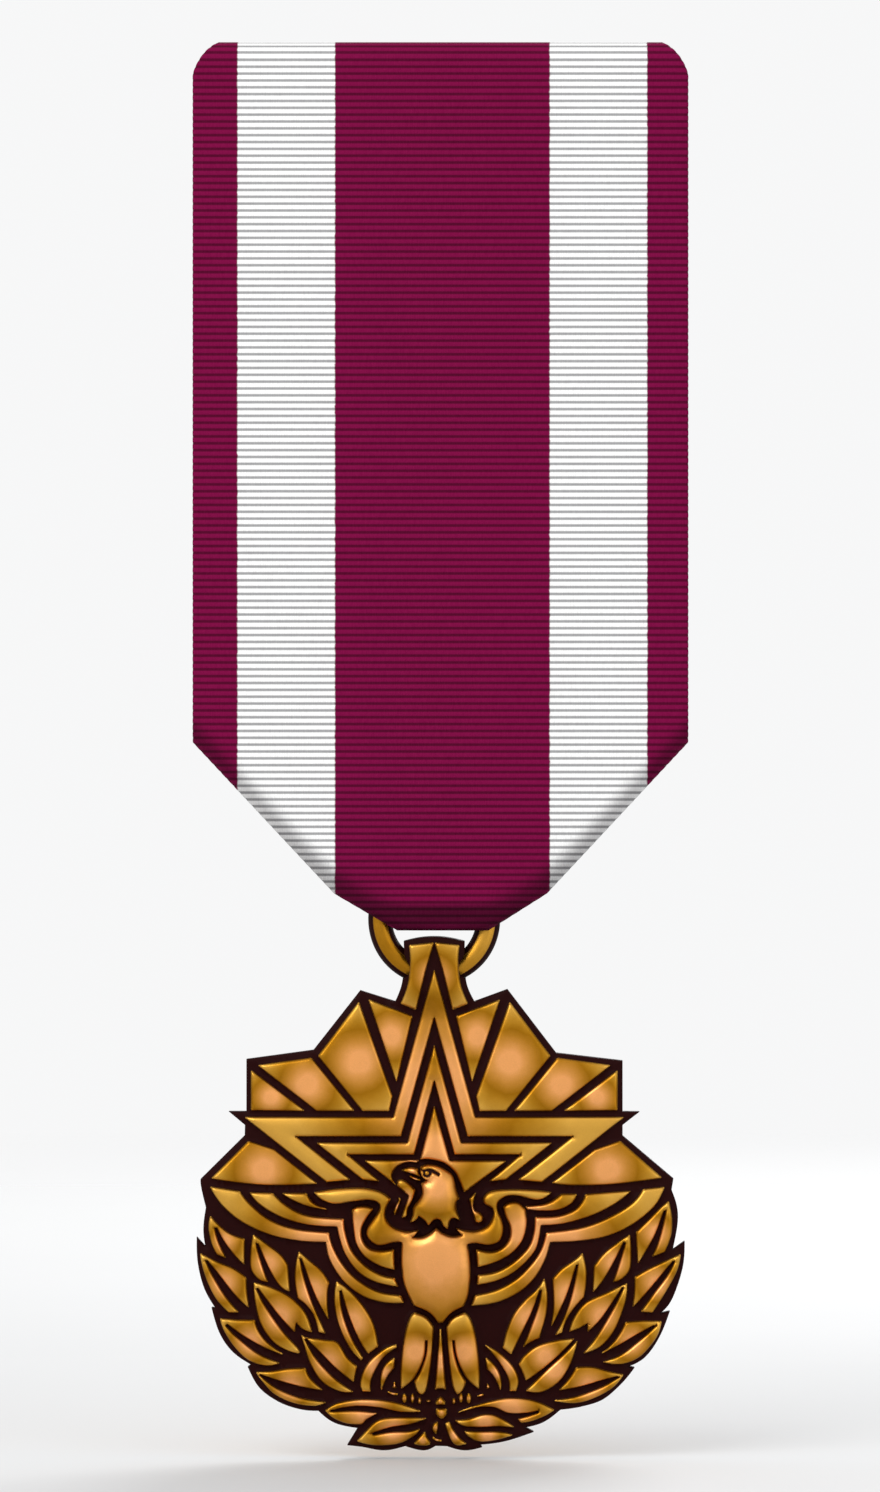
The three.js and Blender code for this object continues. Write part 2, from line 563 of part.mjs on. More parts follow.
// Stepped feather bands, outermost and lowest first.
function wing(place) {
  const bands = [
    [[-16.3, 1.37], [-15.2, -0.2, 1], [-12.9, -1.6, 1], [-10.4, -2.3, 1], [-8.1, -2.5], [-7.5, -4.4, 1],
      [-6.2, -5.9, 1],
      [-4.4, -6.75, 1], [-2.6, -6.8], [-2.8, -6.3], [-5.0, -5.9, 1], [-6.6, -4.6, 1], [-7.5, -3.2, 1],
      [-7.85, -1.85],
      [-10.8, -1.5, 1], [-13.0, -0.5, 1], [-14.2, 1.05]],
    [[-13.5, 0.97], [-12.3, -0.2, 1], [-10.2, -1.1, 1], [-7.3, -1.4], [-6.9, -3.1, 1], [-5.9, -4.6, 1],
      [-4.3, -5.45, 1],
      [-3.0, -5.65], [-3.2, -5.05], [-4.7, -4.7, 1], [-5.9, -3.7, 1], [-6.6, -2.4, 1], [-6.85, -0.85],
      [-9.4, -0.7, 1],
      [-10.9, -0.05, 1], [-11.85, 0.95]],
    [[-11.2, 0.93], [-9.9, 0.1, 1], [-8.0, -0.22, 1], [-6.25, -0.2], [-6.1, -1.9, 1], [-5.3, -3.4, 1],
      [-3.25, -4.45],
      [-3.3, -3.02], [-4.6, -3.05, 1], [-5.55, -2.2, 1], [-5.5, -1.2, 1], [-4.75, -0.15],
      [-7.0, 0.0, 1], [-8.6, 0.3, 1],
      [-9.45, 0.93]],
    [[-8.95, 1.0], [-7.3, 0.22, 1], [-5.0, 0.5, 1], [-4.3, -0.1, 1], [-5.15, -1.4, 1], [-4.6, -2.7, 1],
      [-2.6, -2.5],
      [-2.2, -1.75], [-3.6, -1.3, 1], [-3.9, -0.2, 1], [-3.5, 0.6, 1], [-4.5, 1.2, 1], [-6.4, 1.35, 1]],
  ];
  return bands.map((band, i) => relief(place(band), 0.5 + 0.2 * i));
}

// A rounded boss on the field.
function ball(x, z, halfWidth, halfHeight, height, sides = 18) {
  const geometry = new THREE.SphereGeometry(1, sides, Math.round(sides * 0.7)).rotateX(Math.PI / 2);
  return solid(geometry.scale(halfWidth, height, halfHeight).translate(x, RING_Y - GROUND, z + FIELD_Z))
    .intersect(solid(slabXZ([[-40, -120], [40, -120], [40, 40], [-40, 40]], -9, RING_Y - GROUND + ROOT)));
}

function eagle() {
  const beak = [[-1.55, 2.9], [-2.6, 2.75, 1], [-3.2, 2.2, 1], [-3.05, 1.7], [-2.6, 2.05], [-1.5, 2.0]];
  const leg = [
    [-1.8, -7.5], [-2.55, -8.9, 1], [-2.8, -11.0, 1], [-2.8, -12.9], [-1.35, -13.3], [-0.75, -12.3, 1],
    [-0.5, -8.5],
  ];
  const tail = [[-0.05, -8.4], [-0.4, -12.9], [0.4, -12.9], [0.05, -8.4]];
  return [
    ball(-0.35, -4.4, 2.5, 3.9, 1.7),
    ball(-0.45, -0.2, 1.75, 2.6, 1.75),
    ball(-0.7, 1.7, 1.65, 1.5, 1.85),
    relief(beak, 1.35),
    relief(leg, 1.0),
    relief(mirrored(leg, 0), 1.0),
    relief(tail, 0.7),
    ball(0, -13.7, 0.42, 0.42, 0.9, 10),
    ball(0.05, -14.6, 0.4, 0.42, 0.9, 10),
  ];
}

// A laurel leaf: two swelling lobes on either side of a sunken midrib.
function leaf([tipX, tipZ, baseX, baseZ, width]) {
  const length = Math.hypot(baseX - tipX, baseZ - tipZ);
  const dx = (baseX - tipX) / length;
  const dz = (baseZ - tipZ) / length;
  const across = [-1, -0.55, 0, 0.55, 1];
  const rise = [0.3, 0.75, 0.4, 0.75, 0.3];
  const stations = 6;
  const positions = [];
  const point = (row, column, top) => {
    const t = row / stations;
    const half = (width / 2) * Math.sin(Math.PI * Math.min(t * 0.88 + 0.02, 1)) ** 0.8;
    const u = across[column] * half;
    const taper = row === 0 || row === stations ? 0.4 : 1;
    const y = RING_Y - GROUND + (top ? -rise[column] * taper : ROOT);
    return [tipX + dx * length * t - dz * u, y, tipZ + dz * length * t + dx * u + FIELD_Z];
  };
  const quad = (a, b, c, d) => positions.push(...a, ...c, ...b, ...a, ...d, ...c);
  for (let r = 0; r < stations; r++) {
    for (let c = 0; c < 4; c++) {
      quad(point(r, c, 1), point(r, c + 1, 1), point(r + 1, c + 1, 1), point(r + 1, c, 1));
      quad(point(r, c, 0), point(r + 1, c, 0), point(r + 1, c + 1, 0), point(r, c + 1, 0));
    }
    quad(point(r, 0, 0), point(r, 0, 1), point(r + 1, 0, 1), point(r + 1, 0, 0));
    quad(point(r, 4, 1), point(r, 4, 0), point(r + 1, 4, 0), point(r + 1, 4, 1));
  }
  for (let c = 0; c < 4; c++) {
    quad(point(0, c, 0), point(0, c + 1, 0), point(0, c + 1, 1), point(0, c, 1));
    quad(point(stations, c, 1), point(stations, c + 1, 1), point(stations, c + 1, 0), point(stations, c, 0));
  }
  const geometry = new THREE.BufferGeometry();
  geometry.setAttribute('position', new THREE.BufferAttribute(new Float32Array(positions), 3));
  return solid(geometry);
}

// Tip, base and width of each leaf of one branch.
function branch(side) {
  const leaves = [
    [-16.3, -0.9, -14.4, -3.6, 1.9], [-16.9, -3.5, -14.1, -7.4, 2.4], [-13.3, -2.2, -11.3, -5.6, 2.3],
    [-13.1, -5.6, -9.6, -9.4, 2.6], [-10.0, -3.3, -8.2, -8.0, 2.2], [-7.2, -5.6, -5.0, -10.2, 2.4],
    [-15.5, -8.1, -11.6, -10.9, 2.2], [-9.8, -9.3, -6.4, -12.8, 2.5], [-12.9, -11.8, -8.4, -13.6, 2.1],
    [-8.1, -14.4, -1.6, -14.6, 1.5], [-5.8, -16.5, -1.2, -15.5, 1.6],
  ];
  return leaves.map(([tx, tz, bx, bz, width]) => leaf([side * tx, tz, side * bx, bz, width]));
}

function pendant() {
  const planchet = solid(slabXZ(pendantOutline(), RING_Y - GROUND, RING_Y + BACK));
  const leftWing = wing((band) => band);
  const rightWing = wing((band) => mirrored(band, BODY_X));
  const parts = [
    planchet, neck(), ...raysAndStar(), ...leftWing, ...rightWing, ...eagle(), ...branch(1), ...branch(-1),
  ];
  return geometryOf(join(parts).subtract(ringSweep()));
}

// ---------------------------------------------------------------- assembly
function node(name, geometry, material) {
  const mesh = new THREE.Mesh(geometry, material);
  mesh.name = name;
  mesh.geometry.computeVertexNormals();
  return mesh;
}

const medal = new THREE.Group();
medal.name = 'service_medal';
medal.add(
  node('brooch_plate', broochPlate(), brass()),
  node('hinge_bracket', hingeBracket(), brass()),
  node('hinge_rivet', hingeRivet(), steel()),
  node('pin_stem', pinStem(), steel()),
  node('catch_base', catchBase(), brass()),
  node('catch_sleeve', catchSleeve(), brass()),
  node('ribbon', ribbon(), weave()),
  node('seam_thread', seamThread(), cotton()),
  node('corner_tack_left', cornerTack(-1), cotton()),
  node('corner_tack_right', cornerTack(1), cotton()),
  node('suspension_ring', suspensionRing(), bronze()),
  node('pendant', pendant(), bronze()),
);

export default medal;
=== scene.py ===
# Looks of a military service medal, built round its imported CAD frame.
# Shapes are worked out in millimetres along the frame's axes and stored in metres:
# +X to the viewer's right, the decorated side faces -Y, +Z up.
# Flat outlines are lists of (x, z). A point with a third value is passed smoothly, the others are corners.

import math

import bmesh
import bpy
import numpy as np
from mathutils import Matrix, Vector, geometry


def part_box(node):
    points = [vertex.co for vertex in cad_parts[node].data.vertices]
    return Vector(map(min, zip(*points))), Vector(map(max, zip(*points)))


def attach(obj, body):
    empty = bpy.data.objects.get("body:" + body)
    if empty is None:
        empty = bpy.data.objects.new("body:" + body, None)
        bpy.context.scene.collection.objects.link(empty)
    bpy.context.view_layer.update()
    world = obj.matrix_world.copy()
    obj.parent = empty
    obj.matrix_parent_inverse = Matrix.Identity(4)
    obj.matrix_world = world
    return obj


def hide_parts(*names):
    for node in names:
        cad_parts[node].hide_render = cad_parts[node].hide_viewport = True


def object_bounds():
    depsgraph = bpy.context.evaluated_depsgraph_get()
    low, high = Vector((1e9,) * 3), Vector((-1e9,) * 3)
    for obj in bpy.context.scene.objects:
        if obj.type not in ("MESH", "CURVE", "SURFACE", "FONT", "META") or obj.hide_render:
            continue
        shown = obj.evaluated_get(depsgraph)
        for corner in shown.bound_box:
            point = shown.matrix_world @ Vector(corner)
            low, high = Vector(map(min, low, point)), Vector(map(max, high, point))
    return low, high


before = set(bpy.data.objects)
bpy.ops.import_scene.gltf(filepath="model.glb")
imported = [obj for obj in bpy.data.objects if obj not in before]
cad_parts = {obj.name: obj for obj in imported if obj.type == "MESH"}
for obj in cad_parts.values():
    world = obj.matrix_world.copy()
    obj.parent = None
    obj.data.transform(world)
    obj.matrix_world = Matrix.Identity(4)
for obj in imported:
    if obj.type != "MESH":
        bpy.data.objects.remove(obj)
cad_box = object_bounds()

MM = 0.001


def box_mm(node):
    low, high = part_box(node)
    return np.array(low) / MM, np.array(high) / MM


ribbon_low, ribbon_high = box_mm("ribbon")
ring_low, ring_high = box_mm("suspension_ring")

RIBBON_TOP = ribbon_high[2]
RIBBON_BOTTOM = ribbon_low[2]
RING_CENTRE = (ring_low + ring_high) / 2
WIRE = (ring_high[1] - ring_low[1]) / 2
RING_RADIUS = (ring_high[2] - ring_low[2]) / 2 - WIRE
FIELD_Z = RIBBON_TOP - 82.44  # level the pendant's outlines are drawn from
STAR_X = -0.44  # axis of the neck, rays and star


# ------------------------------------------------------------------ mesh helpers
def new_object(name, verts_mm, faces, body, material, attributes=None):
    """A smooth mesh object that rides a body. Attributes give one number for each vertex."""
    mesh = bpy.data.meshes.new(name)
    mesh.from_pydata((np.asarray(verts_mm) * MM).tolist(), [], faces)
    mesh.validate()
    for key, values in (attributes or {}).items():
        layer = mesh.attributes.new(key, "FLOAT", "POINT")
        layer.data.foreach_set("value", np.asarray(values, np.float32))
    obj = bpy.data.objects.new(name, mesh)
    bpy.context.scene.collection.objects.link(obj)
    mesh.polygons.foreach_set("use_smooth", [True] * len(mesh.polygons))
    mesh.materials.append(material)
    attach(obj, body)
    return obj


def smoothstep(low, high, value):
    t = np.clip((value - low) / (high - low), 0, 1)
    return t * t * (3 - 2 * t)


def outline(points, step):
    """A closed line through an outline's points, divided into pieces of about one step."""
    result = []
    count = len(points)
    for i in range(count):
        p0, p1, p2, p3 = (np.array(points[(i + k) % count][:2], float) for k in (-1, 0, 1, 2))
        soft1 = len(points[i]) > 2
        soft2 = len(points[(i + 1) % count]) > 2
        chord = p2 - p1
        pieces = max(1, round(float(np.linalg.norm(chord)) / step))
        start = (p2 - p0) / 2 if soft1 else None
        end = (p3 - p1) / 2 if soft2 else None
        if start is None:
            start = 1.5 * chord - 0.5 * end if soft2 else chord
        if end is None:
            end = 1.5 * chord - 0.5 * start if soft1 else chord
        for k in range(pieces):
            t = k / pieces
            rise = 3 * t * t - 2 * t ** 3
            bend = (t ** 3 - 2 * t * t + t) * start + (t ** 3 - t * t) * end
            result.append((1 - rise) * p1 + rise * p2 + bend)
    return np.array(result)


def mirrored(points, axis):
    return [(2 * axis - p[0],) + tuple(p[1:]) for p in reversed(points)]


def ellipse(x, z, half_x, half_z):
    angles = [2 * math.pi * k / 8 for k in range(8)]
    return [(x + half_x * math.cos(a), z + half_z * math.sin(a), 1) for a in angles]


def distance_to(points, loops):
    """Distance of each point from the nearest of the loops."""
    best = np.full(len(points), 1e9)
    for loop in loops:
        a, b = loop, np.roll(loop, -1, axis=0)
        edge = b - a
        length = np.maximum((edge ** 2).sum(1), 1e-12)
        rel = points[:, None, :] - a[None]
        t = np.clip((rel * edge[None]).sum(2) / length[None], 0, 1)
        gap = rel - t[..., None] * edge[None]
        best = np.minimum(best, np.sqrt((gap ** 2).sum(2)).min(1))
    return best


def inside(points, loops):
    """Whether each point is inside an odd number of the loops."""
    odd = np.zeros(len(points), bool)
    for loop in loops:
        a, b = loop, np.roll(loop, -1, axis=0)
        for (x1, z1), (x2, z2) in zip(a, b):
            if z1 == z2:
                continue
            crosses = (z1 > points[:, 1]) != (z2 > points[:, 1])
            odd ^= crosses & (points[:, 0] < (x2 - x1) * (points[:, 1] - z1) / (z2 - z1) + x1)
    return odd


def grown(loop, margin):
    """The loop moved outwards by a margin."""
    following = np.roll(loop, -1, axis=0)
    area = (loop[:, 0] * following[:, 1] - following[:, 0] * loop[:, 1]).sum()
    along = following - np.roll(loop, 1, axis=0)
    along /= np.maximum(np.linalg.norm(along, axis=1, keepdims=True), 1e-9)
    outward = np.stack([along[:, 1], -along[:, 0]], 1) * math.copysign(1, area)
    return loop + outward * margin


def offsets(loop, gaps):
    """Pairs of a gap and the points that lie that far from a loop, on both sides."""
    along = np.roll(loop, -1, axis=0) - np.roll(loop, 1, axis=0)
    along /= np.maximum(np.linalg.norm(along, axis=1, keepdims=True), 1e-9)
    normal = np.stack([-along[:, 1], along[:, 0]], 1)
    return [(gap, np.concatenate([loop + normal * gap, loop - normal * gap])) for gap in gaps]


def hex_grid(low, high, step):
    """Points of a triangular grid that covers a box."""
    rows = []
    for j, z in enumerate(np.arange(low[1], high[1], step * 0.866)):
        xs = np.arange(low[0] + (j % 2) * step / 2, high[0], step)
        rows.append(np.stack([xs, np.full(len(xs), z)], 1))
    return np.concatenate(rows)


def tube_faces(stations, around, base=0, hoop=False):
    """Faces through rings of vertices: a hoop that closes on itself, or a tube with a cap at each end."""
    faces = []
    for i in range(stations if hoop else stations - 1):
        start = base + i * around
        step = around if i + 1 < stations else -i * around
        for k in range(around):
            a, b = start + k, start + (k + 1) % around
            faces.append((a, b, b + step, a + step))
    if not hoop:
        last = base + (stations - 1) * around
        faces += [tuple(range(base, base + around)), tuple(range(last, last + around))]
    return faces


def sheet_faces(rows, columns):
    """Faces of two grids of vertices, one behind the other, joined round their edge."""
    shift = rows * columns
    faces = []
    for i in range(rows - 1):
        for k in range(columns - 1):
            a = i * columns + k
            faces.append((a, a + 1, a + columns + 1, a + columns))
            faces.append((a + shift, a + shift + columns, a + shift + columns + 1, a + shift + 1))
    edge = list(range(columns)) + [i * columns + columns - 1 for i in range(1, rows)]
    edge += [(rows - 1) * columns + k for k in range(columns - 2, -1, -1)]
    edge += [i * columns for i in range(rows - 2, 0, -1)]
    return faces + [(a, a + shift, b + shift, b) for a, b in zip(edge, edge[1:] + edge[:1])]


def delaunay(points, loops_index, merge):
    """Triangles over flat points that keep every loop as edges: vertices, triangles and their origins."""
    edges = [pair for loop in loops_index for pair in zip(loop, loop[1:] + loop[:1])]
    found = geometry.delaunay_2d_cdt([Vector(p) for p in points], edges, [], 0, merge, True)
    return np.array([tuple(v) for v in found[0]]), np.array(found[2]), found[3]


def face_out(obj):
    """Turns the faces outwards, one closed part of the mesh at a time."""
    bm = bmesh.new()
    bm.from_mesh(obj.data)
    bmesh.ops.recalc_face_normals(bm, faces=bm.faces)
    bm.normal_update()
    waiting = set(bm.faces)
    for seed in bm.faces[:]:
        if seed not in waiting:
            continue
        waiting.remove(seed)
        part = [seed]
        for face in part:
            beside = {other for edge in face.edges for other in edge.link_faces if other in waiting}
            waiting -= beside
            part += beside
        start = seed.calc_center_median()
        if sum(f.normal.dot(f.calc_center_median() - start) * f.calc_area() for f in part) < 0:
            bmesh.ops.reverse_faces(bm, faces=part)
    bm.to_mesh(obj.data)
    bm.free()


def close_pinholes(obj):
    """Fills the tiny triangles that crossing inset corners leave open in a slab's cap."""
    bm = bmesh.new()
    bm.from_mesh(obj.data)
    bmesh.ops.holes_fill(bm, edges=[edge for edge in bm.edges if edge.is_boundary], sides=4)
    bm.to_mesh(obj.data)
    bm.free()


def apply_modifiers(obj):
    """Replaces an object's mesh by what its modifiers make of it."""
    graph = bpy.context.evaluated_depsgraph_get()
    mesh = bpy.data.meshes.new_from_object(obj.evaluated_get(graph), depsgraph=graph)
    obj.modifiers.clear()
    obj.data = mesh


def carve(obj, verts, faces, solver="EXACT"):
    """Cuts the closed mesh of verts and faces out of an object."""
    mesh = bpy.data.meshes.new("cutter")
    mesh.from_pydata([[c * MM for c in v] for v in verts], [], faces)
    cutter = bpy.data.objects.new("cutter", mesh)
    bpy.context.scene.collection.objects.link(cutter)
    face_out(cutter)
    cut = obj.modifiers.new("cut", "BOOLEAN")
    cut.object = cutter
    cut.operation = "DIFFERENCE"
    cut.solver = solver
    apply_modifiers(obj)
    bpy.data.objects.remove(cutter)


# ------------------------------------------------------------------ materials
class Shader:
    """A principled material and the nodes that feed it."""

    def __init__(self, name):
        self.material = bpy.data.materials.new(name)
        self.material.use_nodes = True
        self.tree = self.material.node_tree
        self.tree.nodes.clear()
        self.base = self.add("BsdfPrincipled")
        out = self.add("OutputMaterial")
        self.tree.links.new(self.base.outputs[0], out.inputs[0])
        self.place = self.add("TexCoord").outputs["Object"]

    def add(self, kind, inputs=None, **settings):
        node = self.tree.nodes.new("ShaderNode" + kind)
        for key, value in settings.items():
            setattr(node, key, value)
        for key, value in (inputs or {}).items():
            self.feed(node.inputs[key], value)
        return node

    def feed(self, socket, value):
        if isinstance(value, bpy.types.NodeSocket):
            self.tree.links.new(value, socket)
        else:
            socket.default_value = value

    def set(self, **inputs):
        for key, value in inputs.items():
            self.feed(self.base.inputs[key.replace("_", " ")], value)

    def attribute(self, name):
        return self.add("Attribute", attribute_name=name).outputs["Fac"]

    def math(self, operation, a, b=0.0, clamp=False):
        return self.add("Math", {0: a, 1: b}, operation=operation, use_clamp=clamp).outputs[0]

    def noise(self, per_mm, detail=3.0, stretch=(1, 1, 1)):
        place = self.add("Mapping", {"Vector": self.place, "Scale": [per_mm / MM * s for s in stretch]})
        inputs = {"Vector": place.outputs[0], "Scale": 1.0, "Detail": detail}
        return self.add("TexNoise", inputs).outputs["Fac"]

    def ramp(self, value, stops):
        node = self.add("ValToRGB", {"Fac": value})
        elements = node.color_ramp.elements
        while len(elements) < len(stops):
            elements.new(0.5)
        for element, (position, colour) in zip(elements, stops):
            element.position = position
            element.color = (*colour, 1)
        return node.outputs["Color"]

    def blend(self, factor, a, b, mode="MIX"):
        node = self.add("Mix", {"Factor": factor}, data_type="RGBA", blend_type=mode)
        for socket, colour in ((node.inputs[6], a), (node.inputs[7], b)):
            self.feed(socket, (*colour, 1) if isinstance(colour, tuple) else colour)
        return node.outputs[2]

    def remap(self, value, low, high, to_low=0.0, to_high=1.0):
        inputs = {"Value": value, "From Min": low, "From Max": high, "To Min": to_low, "To Max": to_high}
        return self.add("MapRange", inputs).outputs[0]

    def bump(self, height, distance_mm, strength):
        inputs = {"Height": height, "Distance": distance_mm * MM, "Strength": strength}
        return self.add("Bump", inputs).outputs[0]


def srgb(r, g, b):
    def channel(v):
        v /= 255
        return v / 12.92 if v <= 0.04045 else ((v + 0.055) / 1.055) ** 2.4
    return channel(r), channel(g), channel(b)


def fade(stops, steps=4):
    """Ramp stops that pass evenly, to the eye, from one sRGB colour to the next."""
    result = []
    for (p1, c1), (p2, c2) in zip(stops, stops[1:]):
        for k in range(steps):
            t = k / steps
            result.append((p1 + (p2 - p1) * t, srgb(*(a + (b - a) * t for a, b in zip(c1, c2)))))
    return result + [(stops[-1][0], srgb(*stops[-1][1]))]


# Colours of the gilding, as sRGB values. The copper is a painted highlight and the umber a painted shade
# band; the tone attribute chooses between them.
COPPER_HIGHLIGHT = 238, 165, 98
UMBER = 156, 103, 8
GOLD = 212, 160, 66

RIB_PITCH = 0.484  # spacing of the ribbon's weft ribs
WARP_PITCH = 0.17
STRIPE_CENTRE = 0.13  # the white stripes lie a little to the right of the ribbon's middle
STRIPE_INNER = 7.595  # the stripes' edges, from that middle
STRIPE_OUTER = 14.475
STRIPE_BLUR = 0.045


def bronze_material():
    """Gilded high points over a near-black patina. Their tone fades from a painted copper highlight through
    painted umber shade to gold.
    """
    s = Shader("struck_bronze")
    tone = s.attribute("tone")
    gold = s.attribute("gold")
    cloud = s.noise(0.9, 4)
    grain = s.noise(14, 4)
    satin = s.attribute("satin")
    brushed = s.noise(9, 3, (0.03, 1, 1))
    shifted = s.math("ADD", tone, s.remap(cloud, 0.3, 0.7, -0.03, 0.03))
    # painted shading: a copper highlight in each cell's middle, umber shade around it, gold at the edge
    metal = s.ramp(shifted, fade([(0.18, COPPER_HIGHLIGHT), (0.58, UMBER), (0.97, GOLD)]))
    metal = s.blend(s.remap(grain, 0.35, 0.75, 0, 0.12), metal, srgb(120, 74, 20))
    dark = s.blend(cloud, srgb(30, 2, 2), srgb(34, 3, 2))
    face = s.remap(s.math("ADD", gold, s.remap(grain, 0.3, 0.7, -0.06, 0.06)), 0.3, 0.7)
    roughness = s.math("ADD", s.remap(face, 0, 1, 0.55, 0.33), s.remap(cloud, 0.3, 0.7, -0.05, 0.06))
    s.set(
        Base_Color=s.blend(face, dark, metal),
        Metallic=s.remap(face, 0, 1, 0.0, 0.93),
        Roughness=roughness,
        Normal=s.bump(s.blend(satin, grain, brushed), 0.02, s.remap(satin, 0, 1, 0.3, 0.8)),
        Specular_IOR_Level=s.remap(face, 0, 1, 0.06, 0.5),
    )
    return s.material


def ribbon_material():
    """Crimson and white ribbed silk, with painted shade in the grooves and where a fold shades it."""
    s = Shader("ribbed_ribbon")
    across = s.attribute("across")
    along = s.attribute("along")
    shade = s.attribute("shade")
    frayed = s.math("ADD", across, s.remap(s.noise(3.5, 2), 0.3, 0.7, -0.03, 0.03))
    distance = s.math("ABSOLUTE", s.math("SUBTRACT", frayed, STRIPE_CENTRE))
    white = s.math(
        "SUBTRACT",
        s.remap(distance, STRIPE_INNER - STRIPE_BLUR, STRIPE_INNER + STRIPE_BLUR),
        s.remap(distance, STRIPE_OUTER - STRIPE_BLUR, STRIPE_OUTER + STRIPE_BLUR),
    )
    phase = s.math("FRACT", s.math("DIVIDE", along, RIB_PITCH))
    groove_shade = s.remap(s.math("ABSOLUTE", s.math("SUBTRACT", phase, 0.5)), 0.23, 0.37)
    warp = s.remap(s.math("SINE", s.math("MULTIPLY", across, 2 * math.pi / WARP_PITCH)), -1, 1)
    fibre = s.noise(9, 4, (1, 1, 0.25))
    cloud = s.noise(0.35, 3)
    # painted shade: the rib grooves are coloured darker than the crests
    crimson = s.blend(groove_shade, srgb(121, 8, 64), srgb(82, 3, 40))
    pale = s.blend(groove_shade, srgb(251, 251, 250), srgb(162, 162, 163))
    colour = s.blend(white, crimson, pale)
    colour = s.blend(s.remap(fibre, 0.35, 0.8, 0, 0.14), colour, srgb(70, 40, 55), "MULTIPLY")
    colour = s.blend(s.remap(warp, 0, 1, 0, 0.07), colour, (0.5, 0.46, 0.48), "MULTIPLY")
    colour = s.blend(s.remap(cloud, 0.35, 0.65, 0, 0.04), colour, (0.35, 0.3, 0.3), "MULTIPLY")
    # painted shade from the shade attribute: beside the folds, above the hem and in the pleats
    colour = s.blend(s.math("MULTIPLY", shade, 0.72), colour, (0.10, 0.09, 0.10), "MULTIPLY")
    height = s.math("ADD", s.math("MULTIPLY", warp, 0.5), fibre)
    s.set(
        Base_Color=colour,
        Roughness=s.remap(fibre, 0.3, 0.7, 0.72, 0.9),
        Normal=s.bump(height, 0.03, 0.4),
        Specular_IOR_Level=0.06,
    )
    return s.material


def metal_material(name, colour, worn, roughness):
    """Stamped or drawn metal with fine lines along X, thin tarnish and a slightly uneven polish."""
    s = Shader(name)
    cloud = s.noise(0.35, 5)
    lines = s.noise(11, 3, (0.04, 1, 1))
    speck = s.noise(4, 2)
    base = s.blend(s.remap(cloud, 0.35, 0.7), colour, worn)
    base = s.blend(s.remap(lines, 0.3, 0.8, 0, 0.16), base, tuple(0.6 * c for c in colour))
    base = s.blend(s.remap(speck, 0.68, 0.8, 0, 0.2), base, tuple(0.35 * c for c in colour))
    s.set(
        Base_Color=base,
        Metallic=0.97,
        Roughness=s.remap(lines, 0.3, 0.7, roughness, roughness + 0.1),
        Normal=s.bump(lines, 0.015, 0.5),
    )
    return s.material


def thread_material():
    s = Shader("twisted_thread")
    inputs = {"Vector": s.place, "Scale": 900.0, "Distortion": 1.5}
    twist = s.add("TexWave", inputs, bands_direction="DIAGONAL").outputs["Fac"]
    fibre = s.noise(18, 4)
    # painted shade: the twist's grooves between the plies are coloured darker than the crests
    colour = s.blend(twist, srgb(120, 30, 66), srgb(178, 78, 110))
    colour = s.blend(s.remap(fibre, 0.4, 0.8, 0, 0.4), colour, srgb(90, 20, 50))
    s.set(Base_Color=colour, Roughness=0.85, Normal=s.bump(twist, 0.05, 0.6), Sheen_Weight=0.2)
    return s.material


# ------------------------------------------------------------------ pendant: dimensions
EDGE_STEP = 0.13  # spacing of points along outlines
WALL = 0.09  # width of a cell's sloping wall
DRAFT = 0.05  # a cell's foot lies this far outside its drawn outline
INSET_ROWS = (0.04, WALL, 0.24)  # rows of points inside a cell's outline
CELL_GRID = 0.27  # spacing of the free points inside the cells
FIELD_GRID = 0.4  # on the sunken field
BACK_GRID = 0.8  # and on the reverse
RIM_STEP = 0.16
FRONT = 0.5  # sunken field in front of the ring plane, at the rim
BACK = 0.9
RIM_WIDTH = 0.85  # raised border of the reverse
RIM_HEIGHT = 0.22
DOME = 0.55
MIDDLE_Z = -2.0  # middle of the disc
HEAD_HEIGHT = 1.15
LINE_DEPTH = 0.2  # lines cut into a raised cell
EYE_FLOOR = 0.9
IRIS_HEIGHT = 0.98
DISH = 0.16  # hollow of the reverse


# ------------------------------------------------------------------ pendant: raised cells
# Each cell is a closed outline on the field, in millimetres from the pendant's drawing level.
def ray_cells():
    left = [
        [(-5.08, 14.62), (-3.12, 8.85), (-2.0, 13.45)],
        [(-5.78, 14.45), (-8.65, 10.65), (-5.5, 6.77), (-3.65, 6.77), (-3.42, 7.8)],
        [(-9.15, 10.5), (-12.9, 9.97), (-8.75, 6.78), (-6.12, 6.78)],
        [(-13.4, 9.6), (-13.4, 6.82), (-9.65, 6.78)],
    ]
    side_left = [(-16.2, 1.98), (-12.6, 1.55, 1), (-8.75, 1.62), (-11.8, 4.02), (-13.6, 4.6)]
    side_right = [(15.65, 2.03), (12.72, 4.62), (10.9, 4.0), (7.9, 1.67), (9.6, 1.52, 1), (12.4, 1.62, 1)]
    return left + [mirrored(cell, STAR_X) for cell in left] + [side_left, side_right]


def neck_cells():
    left = [
        (-2.2, 18.5), (-2.12, 17.2, 1), (-2.3, 15.7, 1), (-2.8, 14.36), (-1.75, 13.93), (-1.05, 16.8),
        (-0.55, 18.45), (-0.5, 18.68),
    ]
    return [left, mirrored(left, STAR_X)]


def star_band(outer, inner):
    """One tier of the star. Each edge gives its apex, notch, tip, the tips' level and the foot."""
    left = []
    for apex, notch, tip, level, foot in (outer, inner):
        left.append([(STAR_X, apex), (STAR_X - notch, level), (STAR_X - tip, level), foot])
    left = left[0] + left[1][::-1]
    return left + mirrored(left[1:-1], STAR_X)


